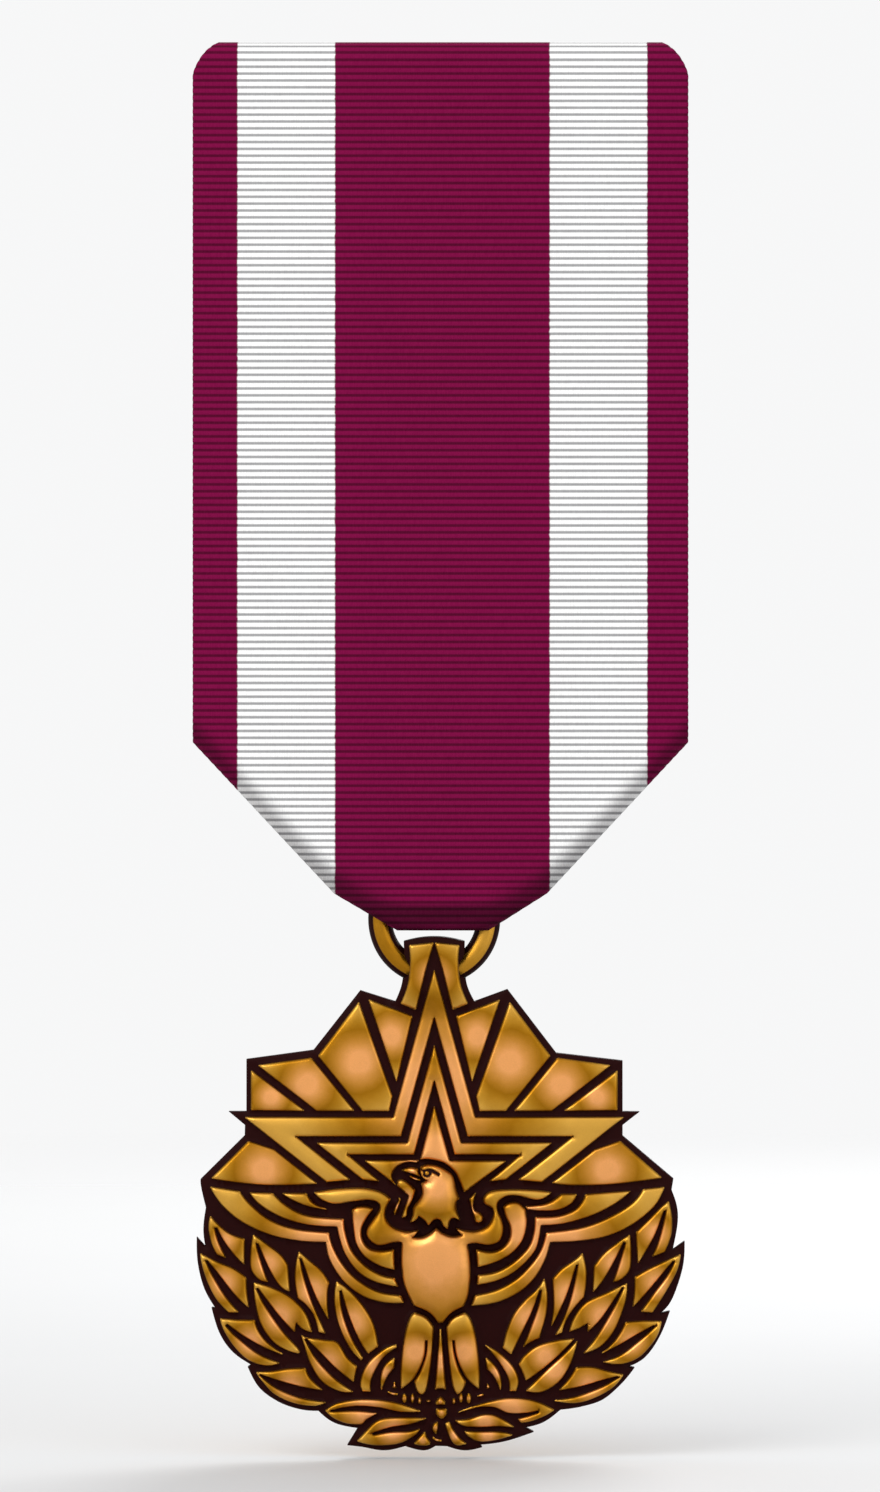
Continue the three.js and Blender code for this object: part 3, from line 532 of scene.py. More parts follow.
STAR_CELLS = [
    (star_band((16.75, 2.9, 13.4, 6.3, (-8.05, 1.75)), (13.42, 2.36, 9.86, 4.98, (-6.4, 1.9))),
     0.42, (STAR_X, 8.6), 10.2),
    (star_band((11.4, 1.9, 8.3, 4.5, (-5.5, 1.93)), (8.95, 1.44, 6.16, 3.7, (-4.35, 1.8))),
     0.52, (STAR_X, 6.0), 7.4),
    ([(-5.35, 3.25), (-3.1, 1.52), (-3.35, 1.8, 1), (-3.45, 2.3, 1), (-3.05, 2.88, 1), (-2.3, 3.2, 1),
      (-1.75, 3.12), (-1.52, 3.27)], 0.55, (-1.6, 3.2), 3.4),
    ([(STAR_X, 7.1), (-1.42, 3.34), (-0.8, 3.38, 1), (0.25, 3.12, 1), (1.0, 2.5, 1), (1.35, 1.8, 1),
      (1.68, 1.03), (4.62, 3.22), (0.65, 3.24)], 0.62, (-0.3, 4.0), 4.6),
]

LEFT_BANDS = [
    ([(-16.3, 1.37), (-15.4, 0.05, 1), (-14.0, -1.1, 1), (-12.0, -2.0, 1), (-10.0, -2.4, 1), (-8.1, -2.5),
      (-7.8, -3.8, 1), (-6.9, -5.2, 1), (-5.6, -6.25, 1), (-4.1, -6.75, 1), (-2.6, -6.8), (-2.8, -6.3),
      (-4.5, -6.0, 1), (-6.0, -5.1, 1), (-7.0, -4.0, 1), (-7.65, -2.8, 1), (-7.9, -1.85), (-10.3, -1.6, 1),
      (-12.1, -0.95, 1), (-13.5, 0.15, 1), (-14.2, 1.05)], 0.45, (-8.4, -2.6), 7.4),
    ([(-13.5, 0.97), (-12.7, 0.1, 1), (-11.2, -0.75, 1), (-9.4, -1.25, 1), (-7.3, -1.4), (-7.1, -2.3, 1),
      (-6.7, -3.4, 1), (-5.8, -4.6, 1), (-4.6, -5.3, 1), (-3.0, -5.65), (-3.25, -5.05), (-4.2, -4.85, 1),
      (-5.3, -4.2, 1), (-6.3, -3.1, 1), (-6.75, -1.8, 1), (-6.85, -0.87), (-9.4, -0.65, 1),
      (-10.9, 0.05, 1), (-11.87, 0.93)], 0.6, (-7.2, -1.5), 5.6),
    ([(-11.2, 0.93), (-10.3, 0.4, 1), (-9.2, 0.0, 1), (-8.0, -0.19), (-8.95, 0.2, 1), (-9.47, 0.93)],
      0.7, (-6.5, -0.8), 4.6),
    ([(-6.25, -0.25), (-6.1, -1.8, 1), (-5.9, -2.7, 1), (-5.3, -3.55, 1), (-4.3, -4.15, 1), (-3.25, -4.45),
      (-3.3, -3.02), (-4.2, -3.12, 1), (-5.0, -2.98, 1), (-5.5, -2.4, 1), (-5.6, -1.6, 1), (-5.3, -0.9, 1),
      (-4.76, -0.15), (-5.3, 0.0, 1), (-5.9, -0.02, 1)], 0.75, (-6.0, -1.7), 3.9),
]
RIGHT_BANDS = [
    ([(15.85, 1.35), (14.35, 1.2), (13.55, 0.2, 1), (12.0, -0.75, 1), (10.0, -1.5, 1), (7.5, -1.85),
      (7.15, -3.0, 1), (6.5, -4.0, 1), (5.4, -5.1, 1), (4.0, -5.9, 1), (2.45, -6.28), (2.2, -7.0),
      (4.0, -6.75, 1), (5.6, -6.0, 1), (6.7, -4.95, 1), (7.4, -3.7, 1), (7.75, -2.5), (9.7, -2.42, 1),
      (11.7, -2.1, 1), (13.5, -1.3, 1), (15.1, 0.0, 1)], 0.45, (8.2, -2.6), 7.2),
    ([(13.45, 1.08), (10.25, 0.85), (10.0, 0.3, 1), (9.4, -0.3, 1), (8.2, -0.7, 1), (6.7, -0.75),
      (6.6, -1.9, 1), (6.2, -2.9, 1), (5.2, -3.9, 1), (4.0, -4.6, 1), (2.65, -4.85), (2.6, -5.5),
      (4.0, -5.2, 1), (5.2, -4.6, 1), (6.2, -3.7, 1), (6.8, -2.8, 1), (7.1, -1.3), (8.8, -1.15, 1),
      (10.7, -0.6, 1), (12.3, 0.2, 1)], 0.6, (6.9, -1.4), 5.6),
    ([(9.65, 0.87), (8.55, 0.88), (7.8, 0.35, 1), (7.0, 0.1, 1), (6.0, 0.0), (6.1, -0.16), (7.2, -0.26, 1),
      (8.3, -0.2, 1), (9.2, 0.2, 1)], 0.7, (6.0, -0.8), 4.6),
    ([(6.0, -0.2), (5.5, 0.25, 1), (4.9, 0.27, 1), (4.45, 0.0), (4.6, -0.6, 1), (4.93, -1.4, 1),
      (4.9, -2.2, 1), (4.4, -2.9, 1), (3.6, -3.2, 1), (2.53, -3.02), (2.65, -4.25), (4.0, -3.85, 1),
      (5.1, -3.2, 1), (5.8, -2.3, 1), (6.08, -1.2, 1)], 0.75, (5.7, -1.7), 3.9),
]
BREAST = [
    (-8.95, 1.0), (-8.3, 0.47, 1), (-7.4, 0.23, 1), (-6.0, 0.42, 1), (-5.0, 0.5, 1), (-4.35, 0.25, 1),
    (-4.32, -0.25, 1), (-4.75, -0.9, 1), (-5.18, -1.6, 1), (-5.1, -2.2, 1), (-4.4, -2.7, 1),
    (-3.3, -2.5, 1), (-2.73, -2.5), (-2.75, -4.0, 1), (-2.6, -5.3, 1), (-2.35, -6.0, 1), (-1.9, -6.97),
    (-0.8, -7.45, 1), (-0.15, -8.2), (0.15, -8.2), (0.8, -7.45, 1), (1.65, -7.02), (1.98, -6.0, 1),
    (2.1, -4.6, 1), (2.03, -3.4, 1), (1.9, -2.65), (2.5, -2.55, 1), (3.4, -2.68, 1), (4.15, -2.4, 1),
    (4.43, -1.6, 1), (4.3, -0.9, 1), (4.0, -0.2, 1), (4.1, 0.4, 1), (4.7, 0.78, 1), (5.5, 0.8, 1),
    (6.9, 0.52, 1), (7.85, 1.0), (6.6, 1.15, 1), (4.7, 1.2, 1), (3.5, 1.05, 1), (3.05, 0.6, 1),
    (3.17, 0.2, 1), (3.68, -0.1, 1), (3.75, -0.6, 1), (3.35, -1.35, 1), (2.5, -1.73, 1), (1.7, -1.68, 1),
    (1.1, -1.5), (1.5, -2.0), (0.85, -2.1, 1), (0.2, -1.9, 1), (-0.3, -1.5), (-0.75, -1.9, 1),
    (-1.3, -2.15, 1), (-1.95, -2.16), (-1.55, -1.65), (-2.4, -1.77, 1), (-3.3, -1.5, 1), (-3.85, -0.9, 1),
    (-3.9, -0.2, 1), (-3.52, 0.55), (-4.3, 1.05, 1), (-5.5, 1.3, 1), (-7.2, 1.25, 1),
]
HEAD = [
    (-1.42, 2.8), (-0.95, 2.95, 1), (-0.25, 2.87, 1), (0.5, 2.5, 1), (0.9, 2.1, 1), (1.1, 1.2, 1),
    (1.33, 0.58), (1.15, 0.45), (1.1, -0.1, 1), (1.38, -0.97), (0.95, -0.76, 1), (0.66, -0.95, 1),
    (0.52, -1.55), (0.2, -1.3, 1), (-0.02, -0.9, 1), (-0.4, -0.86, 1), (-0.86, -1.3), (-1.1, -0.95, 1),
    (-1.55, -0.6), (-1.7, -0.87, 1), (-2.15, -1.1), (-1.95, -0.6, 1), (-1.88, 0.0, 1), (-1.5, 0.48, 1),
    (-1.27, 0.95, 1), (-1.3, 1.4, 1), (-1.36, 1.66), (-0.92, 1.88), (-1.25, 2.1, 1), (-1.42, 2.45),
]
EYE_LINES = [
    (-1.36, 2.66), (-1.15, 2.62, 1), (-0.85, 2.70, 1), (-0.56, 2.65, 1), (-0.30, 2.51, 1), (-0.04, 2.36),
    (-0.13, 2.22), (-0.40, 2.40, 1), (-0.65, 2.50), (-0.69, 2.33, 1), (-0.81, 2.18, 1), (-0.97, 2.14, 1),
    (-1.13, 2.2, 1), (-1.2, 2.35, 1), (-1.19, 2.52),
]
IRIS = ellipse(-0.96, 2.42, 0.1, 0.1)
HEAD_DETAILS = [
    ([(-2.75, 2.58), (-2.2, 2.75, 1), (-1.6, 2.68), (-1.56, 2.4, 1), (-1.42, 2.1), (-1.8, 2.3, 1),
      (-2.25, 2.44, 1)], 0.95),
    ([(-2.18, 2.18), (-1.85, 2.06, 1), (-1.45, 1.95), (-1.42, 1.87), (-1.65, 1.88, 1), (-1.95, 2.0, 1)],
      0.8),
    ([(-3.05, 1.5), (-3.0, 1.84, 1), (-2.7, 1.9, 1), (-2.28, 1.64, 1), (-1.78, 1.18), (-2.0, 0.5, 1),
      (-2.33, -0.15, 1), (-2.4, -0.62, 1), (-2.72, -0.76), (-2.55, -0.2, 1), (-2.34, 0.4, 1),
      (-2.24, 0.78)], 0.6),
    ([(-2.95, 0.7), (-2.83, 0.55), (-3.0, 0.0, 1), (-3.24, -0.6), (-3.3, -0.35), (-3.12, 0.1, 1),
      (-2.92, 0.4)], 0.5),
    ([(2.5, 1.0), (2.06, 0.55), (2.25, -0.2, 1), (2.5, -1.05), (2.8, -1.1, 1), (2.98, -0.85, 1),
      (2.85, -0.5, 1), (2.4, -0.28, 1), (2.3, 0.0, 1), (2.36, 0.5, 1)], 0.6),
]
LEGS = [
    [(-1.8, -7.5), (-2.15, -7.85, 1), (-2.5, -9.0, 1), (-2.7, -10.4, 1), (-2.8, -11.8, 1), (-2.78, -12.88),
     (-2.02, -12.3, 1), (-1.51, -11.5, 1), (-1.15, -10.5, 1), (-1.07, -9.43), (-0.93, -9.43),
     (-1.0, -10.4, 1), (-1.37, -11.5, 1), (-1.85, -12.35), (-1.62, -13.05, 1), (-1.3, -13.28, 1),
     (-1.02, -12.9, 1), (-0.75, -11.5, 1), (-0.6, -10.0, 1), (-0.5, -8.5), (-1.0, -7.85, 1)],
    [(1.7, -7.5), (0.85, -7.9, 1), (0.43, -8.5), (0.55, -10.0, 1), (0.7, -11.5, 1), (0.9, -12.7, 1),
     (1.2, -13.28), (1.55, -13.0, 1), (1.8, -12.38), (1.31, -11.5, 1), (0.97, -10.4, 1), (0.85, -9.42),
     (0.98, -9.42), (1.11, -10.4, 1), (1.45, -11.4, 1), (1.97, -12.25, 1), (2.72, -12.88), (2.75, -11.8, 1),
     (2.65, -10.4, 1), (2.45, -9.0, 1), (2.1, -7.9, 1)],
]
SMALL_CELLS = [
    ([(-0.04, -8.65), (-0.12, -9.8, 1), (-0.38, -12.95), (0.0, -12.85, 1), (0.38, -12.95), (0.12, -9.8, 1),
      (0.04, -8.65)], 0.55),
    ([(-0.3, -14.0), (-0.3, -13.8, 1), (0.0, -13.5, 1), (0.3, -13.8, 1), (0.3, -14.0)], 0.6),
    ([(-0.3, -14.32), (0.42, -14.32), (0.42, -14.7, 1), (0.1, -15.0, 1), (-0.25, -14.75, 1)], 0.6),
    ([(-0.2, -15.25), (-0.2, -15.7, 1), (-0.32, -16.1), (-0.55, -15.75, 1), (-0.45, -15.4, 1)], 0.5),
    ([(0.35, -15.35), (0.62, -15.25), (0.9, -15.8, 1), (1.35, -16.4, 1), (1.85, -16.8), (1.2, -16.9, 1),
      (0.8, -16.6, 1), (0.5, -15.9, 1)], 0.5),
    ([(-1.1, -15.95), (-1.45, -16.3, 1), (-1.87, -16.8), (-1.3, -16.92, 1), (-0.8, -16.87, 1),
      (-0.76, -16.65), (-1.0, -16.3)], 0.45),
    ([(-3.1, -9.75), (-4.0, -10.1, 1), (-5.0, -10.95, 1), (-5.5, -11.8, 1), (-5.65, -12.6, 1),
      (-5.5, -13.07), (-4.95, -13.1), (-4.95, -12.4, 1), (-4.6, -11.5, 1), (-4.0, -10.6, 1),
      (-3.08, -9.93)], 0.45),
    ([(-3.25, -10.7), (-3.9, -11.2, 1), (-4.2, -12.0, 1), (-4.18, -13.0), (-4.0, -12.5, 1),
      (-3.7, -11.9, 1), (-3.27, -11.4)], 0.4),
    ([(3.15, -9.8), (3.8, -10.5, 1), (4.5, -11.5, 1), (4.85, -12.3, 1), (4.9, -13.05), (5.35, -13.05),
      (5.5, -12.2, 1), (5.1, -11.3, 1), (4.2, -10.4, 1)], 0.45),
    ([(3.2, -10.7), (3.3, -11.5), (3.7, -11.9, 1), (4.0, -12.4, 1), (4.25, -13.0), (4.3, -12.5, 1),
      (4.15, -11.8, 1), (3.75, -11.15, 1)], 0.4),
    ([(-3.25, -12.42), (-3.36, -12.8), (-3.15, -12.85)], 0.3),
    ([(3.33, -12.55), (3.3, -12.9), (3.47, -12.78)], 0.3),
    ([(-3.75, -13.1), (-3.4, -13.22, 1), (-3.0, -13.26), (-3.02, -13.32), (-3.4, -13.29, 1)], 0.3),
    ([(2.6, -13.44), (2.8, -13.36, 1), (3.08, -13.26), (3.06, -13.32), (2.82, -13.41, 1)], 0.3),
    ([(-0.52, -16.3), (-0.33, -16.48, 1), (0.09, -16.57), (0.08, -16.63), (-0.32, -16.56, 1),
      (-0.55, -16.38)], 0.3),
]
CLAWS = [
    (-2.55, -13.57, 0.15, 0.3), (-1.98, -13.57, 0.1, 0.3), (-1.48, -13.75, 0.09, 0.2),
    (-0.85, -13.77, 0.12, 0.06), (0.95, -13.78, 0.09, 0.19), (1.45, -13.55, 0.12, 0.31),
    (2.0, -13.57, 0.15, 0.34),
]

LEFT_LEAVES = [
    [(-16.28, -0.7), (-15.75, -1.3, 1), (-14.9, -1.95, 1), (-13.87, -2.3), (-13.9, -4.1), (-14.6, -3.4, 1),
     (-15.3, -2.45, 1), (-15.82, -1.5), (-16.0, -1.5), (-15.75, -2.5, 1), (-15.2, -3.65), (-15.8, -3.4),
     (-16.2, -2.6, 1), (-16.4, -1.5, 1)],
    [(-17.0, -3.35), (-15.8, -3.95, 1), (-14.7, -4.4, 1), (-13.75, -5.05), (-13.72, -6.0, 1),
     (-13.58, -7.15), (-14.5, -6.3, 1), (-15.6, -4.9, 1), (-16.5, -3.8), (-16.68, -3.82), (-16.1, -5.0, 1),
     (-15.3, -6.3, 1), (-14.3, -7.5), (-15.0, -7.5), (-15.9, -6.5, 1), (-16.5, -5.3, 1), (-16.85, -4.2, 1)],
    [(-13.25, -2.0), (-12.2, -2.75, 1), (-11.3, -3.45, 1), (-10.82, -4.15), (-10.68, -6.0),
     (-11.3, -5.65, 1), (-12.0, -4.6, 1), (-12.9, -2.6), (-13.08, -2.6), (-12.7, -4.0, 1), (-12.22, -5.35),
     (-12.9, -5.1, 1), (-13.4, -4.4, 1), (-13.42, -3.2, 1)],
    [(-13.2, -5.4), (-12.0, -5.75, 1), (-10.7, -6.4, 1), (-9.6, -7.5, 1), (-9.1, -8.9), (-9.75, -8.65, 1),
     (-10.22, -8.2), (-10.32, -8.87), (-11.2, -7.95, 1), (-12.2, -6.7, 1), (-12.9, -5.75), (-13.08, -5.8),
     (-12.4, -7.1, 1), (-11.3, -8.7, 1), (-10.1, -10.05, 1), (-10.03, -10.4), (-10.9, -10.15, 1),
     (-11.9, -9.5, 1), (-12.75, -8.2, 1), (-13.12, -6.6, 1)],
    [(-10.02, -3.2), (-9.2, -3.9, 1), (-8.4, -4.6, 1), (-7.88, -5.4), (-8.02, -6.3, 1), (-7.93, -7.97),
     (-8.6, -6.8, 1), (-9.2, -5.4, 1), (-9.82, -3.65), (-9.98, -3.65), (-9.6, -5.3, 1), (-9.1, -6.8, 1),
     (-8.5, -8.2, 1), (-8.15, -8.97), (-8.6, -8.87), (-8.95, -7.7, 1), (-9.5, -6.95, 1), (-10.08, -6.5),
     (-10.28, -5.2, 1), (-10.22, -4.1, 1)],
    [(-7.35, -5.3), (-6.4, -6.0, 1), (-5.5, -7.0, 1), (-4.75, -8.3, 1), (-4.42, -9.9), (-5.12, -10.4),
     (-5.8, -9.3, 1), (-6.5, -7.6, 1), (-7.0, -5.9), (-7.15, -5.95), (-6.95, -7.5, 1), (-6.4, -9.1, 1),
     (-5.5, -10.72), (-5.62, -10.88), (-6.4, -10.0, 1), (-7.1, -8.6, 1), (-7.45, -7.2, 1), (-7.48, -6.1, 1)],
    [(-15.6, -7.95), (-14.4, -8.05), (-13.15, -8.05), (-12.9, -8.8, 1), (-12.3, -9.6, 1), (-11.15, -10.48),
     (-12.5, -9.95, 1), (-14.0, -9.1, 1), (-15.1, -8.3), (-15.25, -8.45), (-14.4, -9.3, 1),
     (-13.0, -10.4, 1), (-11.4, -11.1), (-12.4, -11.25, 1), (-13.6, -10.85, 1), (-14.6, -9.9, 1),
     (-15.3, -8.8, 1)],
    [(-9.85, -9.1), (-9.4, -9.3, 1), (-8.3, -9.45, 1), (-7.3, -9.65, 1), (-6.6, -10.7, 1), (-5.92, -11.3),
     (-6.15, -12.4), (-7.3, -11.5, 1), (-8.5, -10.3, 1), (-9.5, -9.3), (-9.62, -9.42), (-8.8, -10.8, 1),
     (-7.6, -12.1, 1), (-6.18, -13.12), (-7.2, -13.05, 1), (-8.4, -12.35, 1), (-9.2, -11.1, 1),
     (-9.6, -9.9, 1)],
    [(-13.05, -11.75), (-11.9, -11.68, 1), (-10.8, -11.5, 1), (-9.55, -11.45), (-9.2, -12.2, 1),
     (-8.35, -13.0), (-9.8, -12.75, 1), (-11.3, -12.35, 1), (-12.75, -11.87), (-12.85, -11.97),
     (-11.6, -12.9, 1), (-10.0, -13.55, 1), (-8.12, -13.88), (-9.0, -14.1, 1), (-10.4, -13.9, 1),
     (-11.7, -13.3, 1), (-12.5, -12.5, 1)],
    [(-8.15, -14.45), (-7.3, -13.95, 1), (-6.0, -13.7, 1), (-4.5, -13.7, 1), (-3.0, -13.95, 1),
     (-1.4, -14.5), (-2.8, -14.52, 1), (-4.4, -14.2, 1), (-6.0, -14.1, 1), (-7.8, -14.42), (-7.8, -14.55),
     (-6.0, -14.5, 1), (-4.5, -14.65), (-5.3, -15.1, 1), (-5.6, -15.4, 1), (-6.6, -15.35, 1),
     (-7.5, -15.0, 1)],
    [(-5.9, -16.62), (-5.3, -15.95, 1), (-4.5, -15.2, 1), (-3.4, -14.97, 1), (-1.0, -15.0),
     (-2.2, -15.4, 1), (-3.5, -15.6, 1), (-4.9, -16.05), (-4.75, -16.2), (-3.5, -16.0, 1),
     (-2.3, -15.95, 1), (-1.45, -15.75), (-1.9, -16.25, 1), (-2.9, -16.75, 1), (-4.0, -16.9, 1),
     (-5.0, -16.85, 1)],
]
RIGHT_LEAVES = [
    [(16.15, 0.35), (16.38, -0.9, 1), (16.3, -2.1, 1), (15.88, -3.22), (15.0, -3.55), (15.55, -2.2, 1),
     (16.0, -0.25), (15.8, -0.3), (15.2, -1.9, 1), (14.5, -3.2, 1), (13.98, -4.02), (13.85, -1.82),
     (14.7, -1.0, 1), (15.5, -0.2, 1)],
    [(17.0, -3.4), (16.75, -4.5, 1), (16.2, -5.6, 1), (15.6, -6.6, 1), (15.0, -7.5), (14.2, -7.45),
     (15.1, -6.2, 1), (16.0, -5.0, 1), (16.6, -3.9), (16.45, -3.85), (15.4, -5.1, 1), (14.3, -6.4, 1),
     (13.62, -7.1), (13.75, -6.0, 1), (13.75, -5.0), (14.8, -4.4, 1), (16.0, -3.85, 1)],
    [(13.4, -2.0), (13.48, -3.2, 1), (13.4, -4.4, 1), (12.9, -5.05, 1), (12.22, -5.35), (12.6, -4.3, 1),
     (13.12, -2.55), (12.95, -2.5), (12.2, -4.0, 1), (11.5, -5.2, 1), (10.8, -6.05), (10.88, -4.2),
     (11.6, -3.3, 1), (12.5, -2.6, 1)],
    [(13.2, -5.45), (13.15, -6.4, 1), (12.8, -7.6, 1), (12.2, -8.9, 1), (11.3, -9.9, 1), (10.12, -10.4),
     (11.0, -9.3, 1), (12.0, -7.7, 1), (13.0, -5.75), (12.85, -5.7), (12.0, -7.0, 1), (11.2, -8.1, 1),
     (10.42, -8.85), (10.42, -8.25), (9.8, -8.6, 1), (9.12, -8.85), (9.5, -7.8, 1), (10.3, -6.8, 1),
     (11.8, -6.1, 1)],
    [(10.05, -3.3), (10.3, -4.4, 1), (10.3, -5.4, 1), (10.15, -6.4), (9.5, -7.1, 1), (8.9, -8.0, 1),
     (8.6, -8.9), (8.13, -9.1), (8.7, -8.0, 1), (9.3, -6.3, 1), (9.75, -4.1), (9.6, -4.1), (9.0, -6.0, 1),
     (8.4, -7.4, 1), (7.85, -8.45), (8.02, -7.0, 1), (7.95, -5.1), (8.6, -4.4, 1), (9.5, -3.8, 1)],
    [(7.35, -5.1), (7.55, -6.2, 1), (7.5, -7.4, 1), (7.2, -8.6, 1), (6.98, -9.3), (6.3, -9.6, 1),
     (5.85, -9.95), (6.4, -8.6, 1), (6.9, -7.2, 1), (7.18, -5.9), (7.0, -5.9), (6.5, -7.3, 1),
     (5.8, -8.8, 1), (5.0, -10.45), (4.42, -10.0), (4.7, -8.8, 1), (5.2, -7.6, 1), (6.0, -6.6, 1),
     (6.8, -5.9, 1)],
    [(15.65, -8.15), (15.4, -9.0, 1), (14.9, -9.8, 1), (14.0, -10.7, 1), (12.8, -11.15, 1), (11.5, -11.02),
     (12.8, -10.5, 1), (14.0, -9.6, 1), (15.3, -8.45), (15.1, -8.4), (13.8, -9.1, 1), (12.6, -9.8, 1),
     (11.4, -10.4), (12.1, -9.8, 1), (12.7, -9.0, 1), (13.1, -8.2), (14.4, -8.12)],
    [(9.45, -9.37), (8.2, -9.5, 1), (6.9, -9.85, 1), (6.0, -10.5, 1), (5.55, -11.15), (5.85, -11.8, 1),
     (6.05, -12.3), (7.0, -11.65, 1), (8.3, -10.55, 1)],
    [(9.68, -9.52), (8.7, -10.5, 1), (7.4, -11.7, 1), (6.05, -13.05), (7.2, -13.1, 1), (8.4, -12.35, 1),
     (9.2, -11.1, 1)],
    [(12.95, -11.92), (12.2, -12.8, 1), (11.0, -13.5, 1), (9.6, -13.9, 1), (8.05, -13.75), (9.5, -13.5, 1),
     (11.2, -12.9, 1), (12.7, -12.1), (12.5, -12.0), (11.2, -12.35, 1), (9.8, -12.75, 1), (8.4, -13.0),
     (9.1, -12.2, 1), (9.6, -11.4), (10.8, -11.4, 1), (11.9, -11.7, 1)],
    [(8.05, -14.4), (7.0, -13.9, 1), (6.0, -13.65, 1), (4.6, -13.6, 1), (3.0, -13.95, 1), (1.2, -14.6),
     (2.6, -14.2, 1), (3.8, -14.2, 1), (4.8, -14.6, 1), (6.0, -14.6, 1), (7.0, -14.42), (6.95, -14.6),
     (6.0, -14.92, 1), (5.5, -15.05), (5.7, -15.3), (6.4, -15.2, 1), (7.3, -14.85, 1)],
    [(1.05, -15.15), (2.0, -15.05, 1), (3.0, -14.75, 1), (3.8, -14.8, 1), (4.6, -15.2, 1), (5.2, -15.62),
     (4.0, -15.55, 1), (2.6, -15.6, 1), (1.6, -15.5, 1)],
    [(1.7, -15.92), (3.0, -15.97, 1), (4.2, -15.98, 1), (5.1, -16.18), (4.0, -16.5, 1), (2.8, -16.62, 1),
     (2.1, -16.35, 1)],
]

RIM = [
    (-3.2, 14.5), (-5.68, 15.28), (-9.0, 11.05), (-13.75, 10.4), (-13.75, 6.7), (-15.0, 6.7),
    (-13.85, 5.75), (-13.87, 5.0), (-17.0, 1.9), (-16.95, 1.3, 1), (-16.62, -0.1), (-16.8, -1.6, 1),
    (-16.65, -2.9), (-17.27, -2.2), (-17.2, -4.0, 1), (-16.75, -5.8, 1), (-15.95, -7.22), (-16.22, -7.2),
    (-15.65, -9.0, 1), (-14.75, -10.3, 1), (-13.4, -11.25), (-13.65, -11.4), (-12.8, -12.9, 1),
    (-11.4, -13.9, 1), (-9.9, -14.4, 1), (-8.65, -14.5), (-7.5, -15.35, 1), (-5.85, -15.72), (-6.6, -16.95),
    (-5.6, -17.05, 1), (-4.0, -17.3, 1), (-2.5, -17.0), (-1.2, -17.3, 1), (-0.35, -16.98), (0.45, -17.0),
    (1.7, -17.3, 1), (2.95, -17.08), (2.8, -16.9), (4.6, -16.65, 1), (6.6, -16.0), (6.0, -15.68),
    (7.3, -15.3, 1), (8.5, -14.42), (10.0, -14.2, 1), (11.5, -13.7, 1), (12.8, -12.6, 1), (13.75, -11.45),
    (13.3, -11.38), (14.5, -10.7, 1), (15.5, -9.3, 1), (16.25, -7.45), (15.55, -7.62), (16.4, -6.6, 1),
    (17.15, -4.4, 1), (17.3, -2.5), (16.45, -3.1), (16.8, -1.2, 1), (16.75, 0.0, 1), (16.37, 1.15),
    (16.5, 1.95), (12.9, 5.0), (12.9, 5.75), (14.1, 6.68), (12.9, 6.7), (12.9, 10.3), (8.2, 10.85),
    (4.75, 15.36), (2.4, 14.5), (1.87, 15.7, 1), (1.72, 17.2, 1), (1.72, 18.77), (0.6, 19.02, 1),
    (STAR_X, 19.1, 1), (-1.5, 19.02, 1), (-2.6, 18.77), (-2.6, 17.2, 1), (-2.75, 15.7, 1),
]


def all_cells():
    """Every raised cell: its loops, its height, and its tone's centre and reach where they aren't its own.
    A second loop is a line cut into the cell."""
    cells = [([c], 0.32, None, None) for c in ray_cells()]
    cells += [([c], 0.34, (STAR_X, 16.3), 2.7) for c in neck_cells()]
    cells += [([c], h, centre, reach) for c, h, centre, reach in STAR_CELLS + LEFT_BANDS + RIGHT_BANDS]
    cells += [([BREAST], 0.95, (-0.3, -3.7), 7.6)]
    cells += [([HEAD, EYE_LINES], HEAD_HEIGHT, (-0.3, 1.5), 3.4)]
    cells += [([c], h, None, None) for c, h in HEAD_DETAILS + SMALL_CELLS]
    cells += [([c], 0.7, (c[0][0], -10.3), 2.6) for c in LEGS]
    cells += [([ellipse(*claw)], 0.4, None, None) for claw in CLAWS]
    cells += [([c], 0.45, None, None) for c in LEFT_LEAVES + RIGHT_LEAVES]
    return cells


# ------------------------------------------------------------------ pendant: struck surface
def dome(points):
    """Rise of the whole front towards its middle."""
    reach = (points[:, 0] ** 2 + (points[:, 1] - MIDDLE_Z) ** 2) / 17.5 ** 2
    return DOME * np.clip(1 - reach, 0, 1)


def neck_swell(points):
    """Where the neck is thicker than the planchet: 0 on the disc and 1 on the neck."""
    return smoothstep(13.2, 15.6, points[:, 1]) * smoothstep(3.4, 2.2, np.abs(points[:, 0] - STAR_X) * 0.98)


def body_bulge(points):
    """Extra rise of the eagle's breast and head."""
    breast = np.exp(-((points[:, 0] + 0.3) / 2.3) ** 2 - ((points[:, 1] + 3.8) / 3.6) ** 2)
    head = np.exp(-((points[:, 0] + 0.4) / 1.9) ** 2 - ((points[:, 1] - 1.0) / 2.1) ** 2)
    return 0.42 * breast + 0.3 * head


def profile(gap):
    """Rise of a cell's surface, 0 to 1, at a distance from its outline."""
    crown = 1 - (1 - np.clip(gap / 0.7, 0, 1)) ** 2
    return 0.72 * smoothstep(0, WALL, gap) + 0.28 * crown


def cell_outline(shape):
    """A cell's loop. Small cells get closer points, so that they stay round."""
    rough = outline(shape, EDGE_STEP)
    around = np.linalg.norm(np.roll(rough, -1, axis=0) - rough, axis=1).sum()
    return outline(shape, min(EDGE_STEP, around / 22))


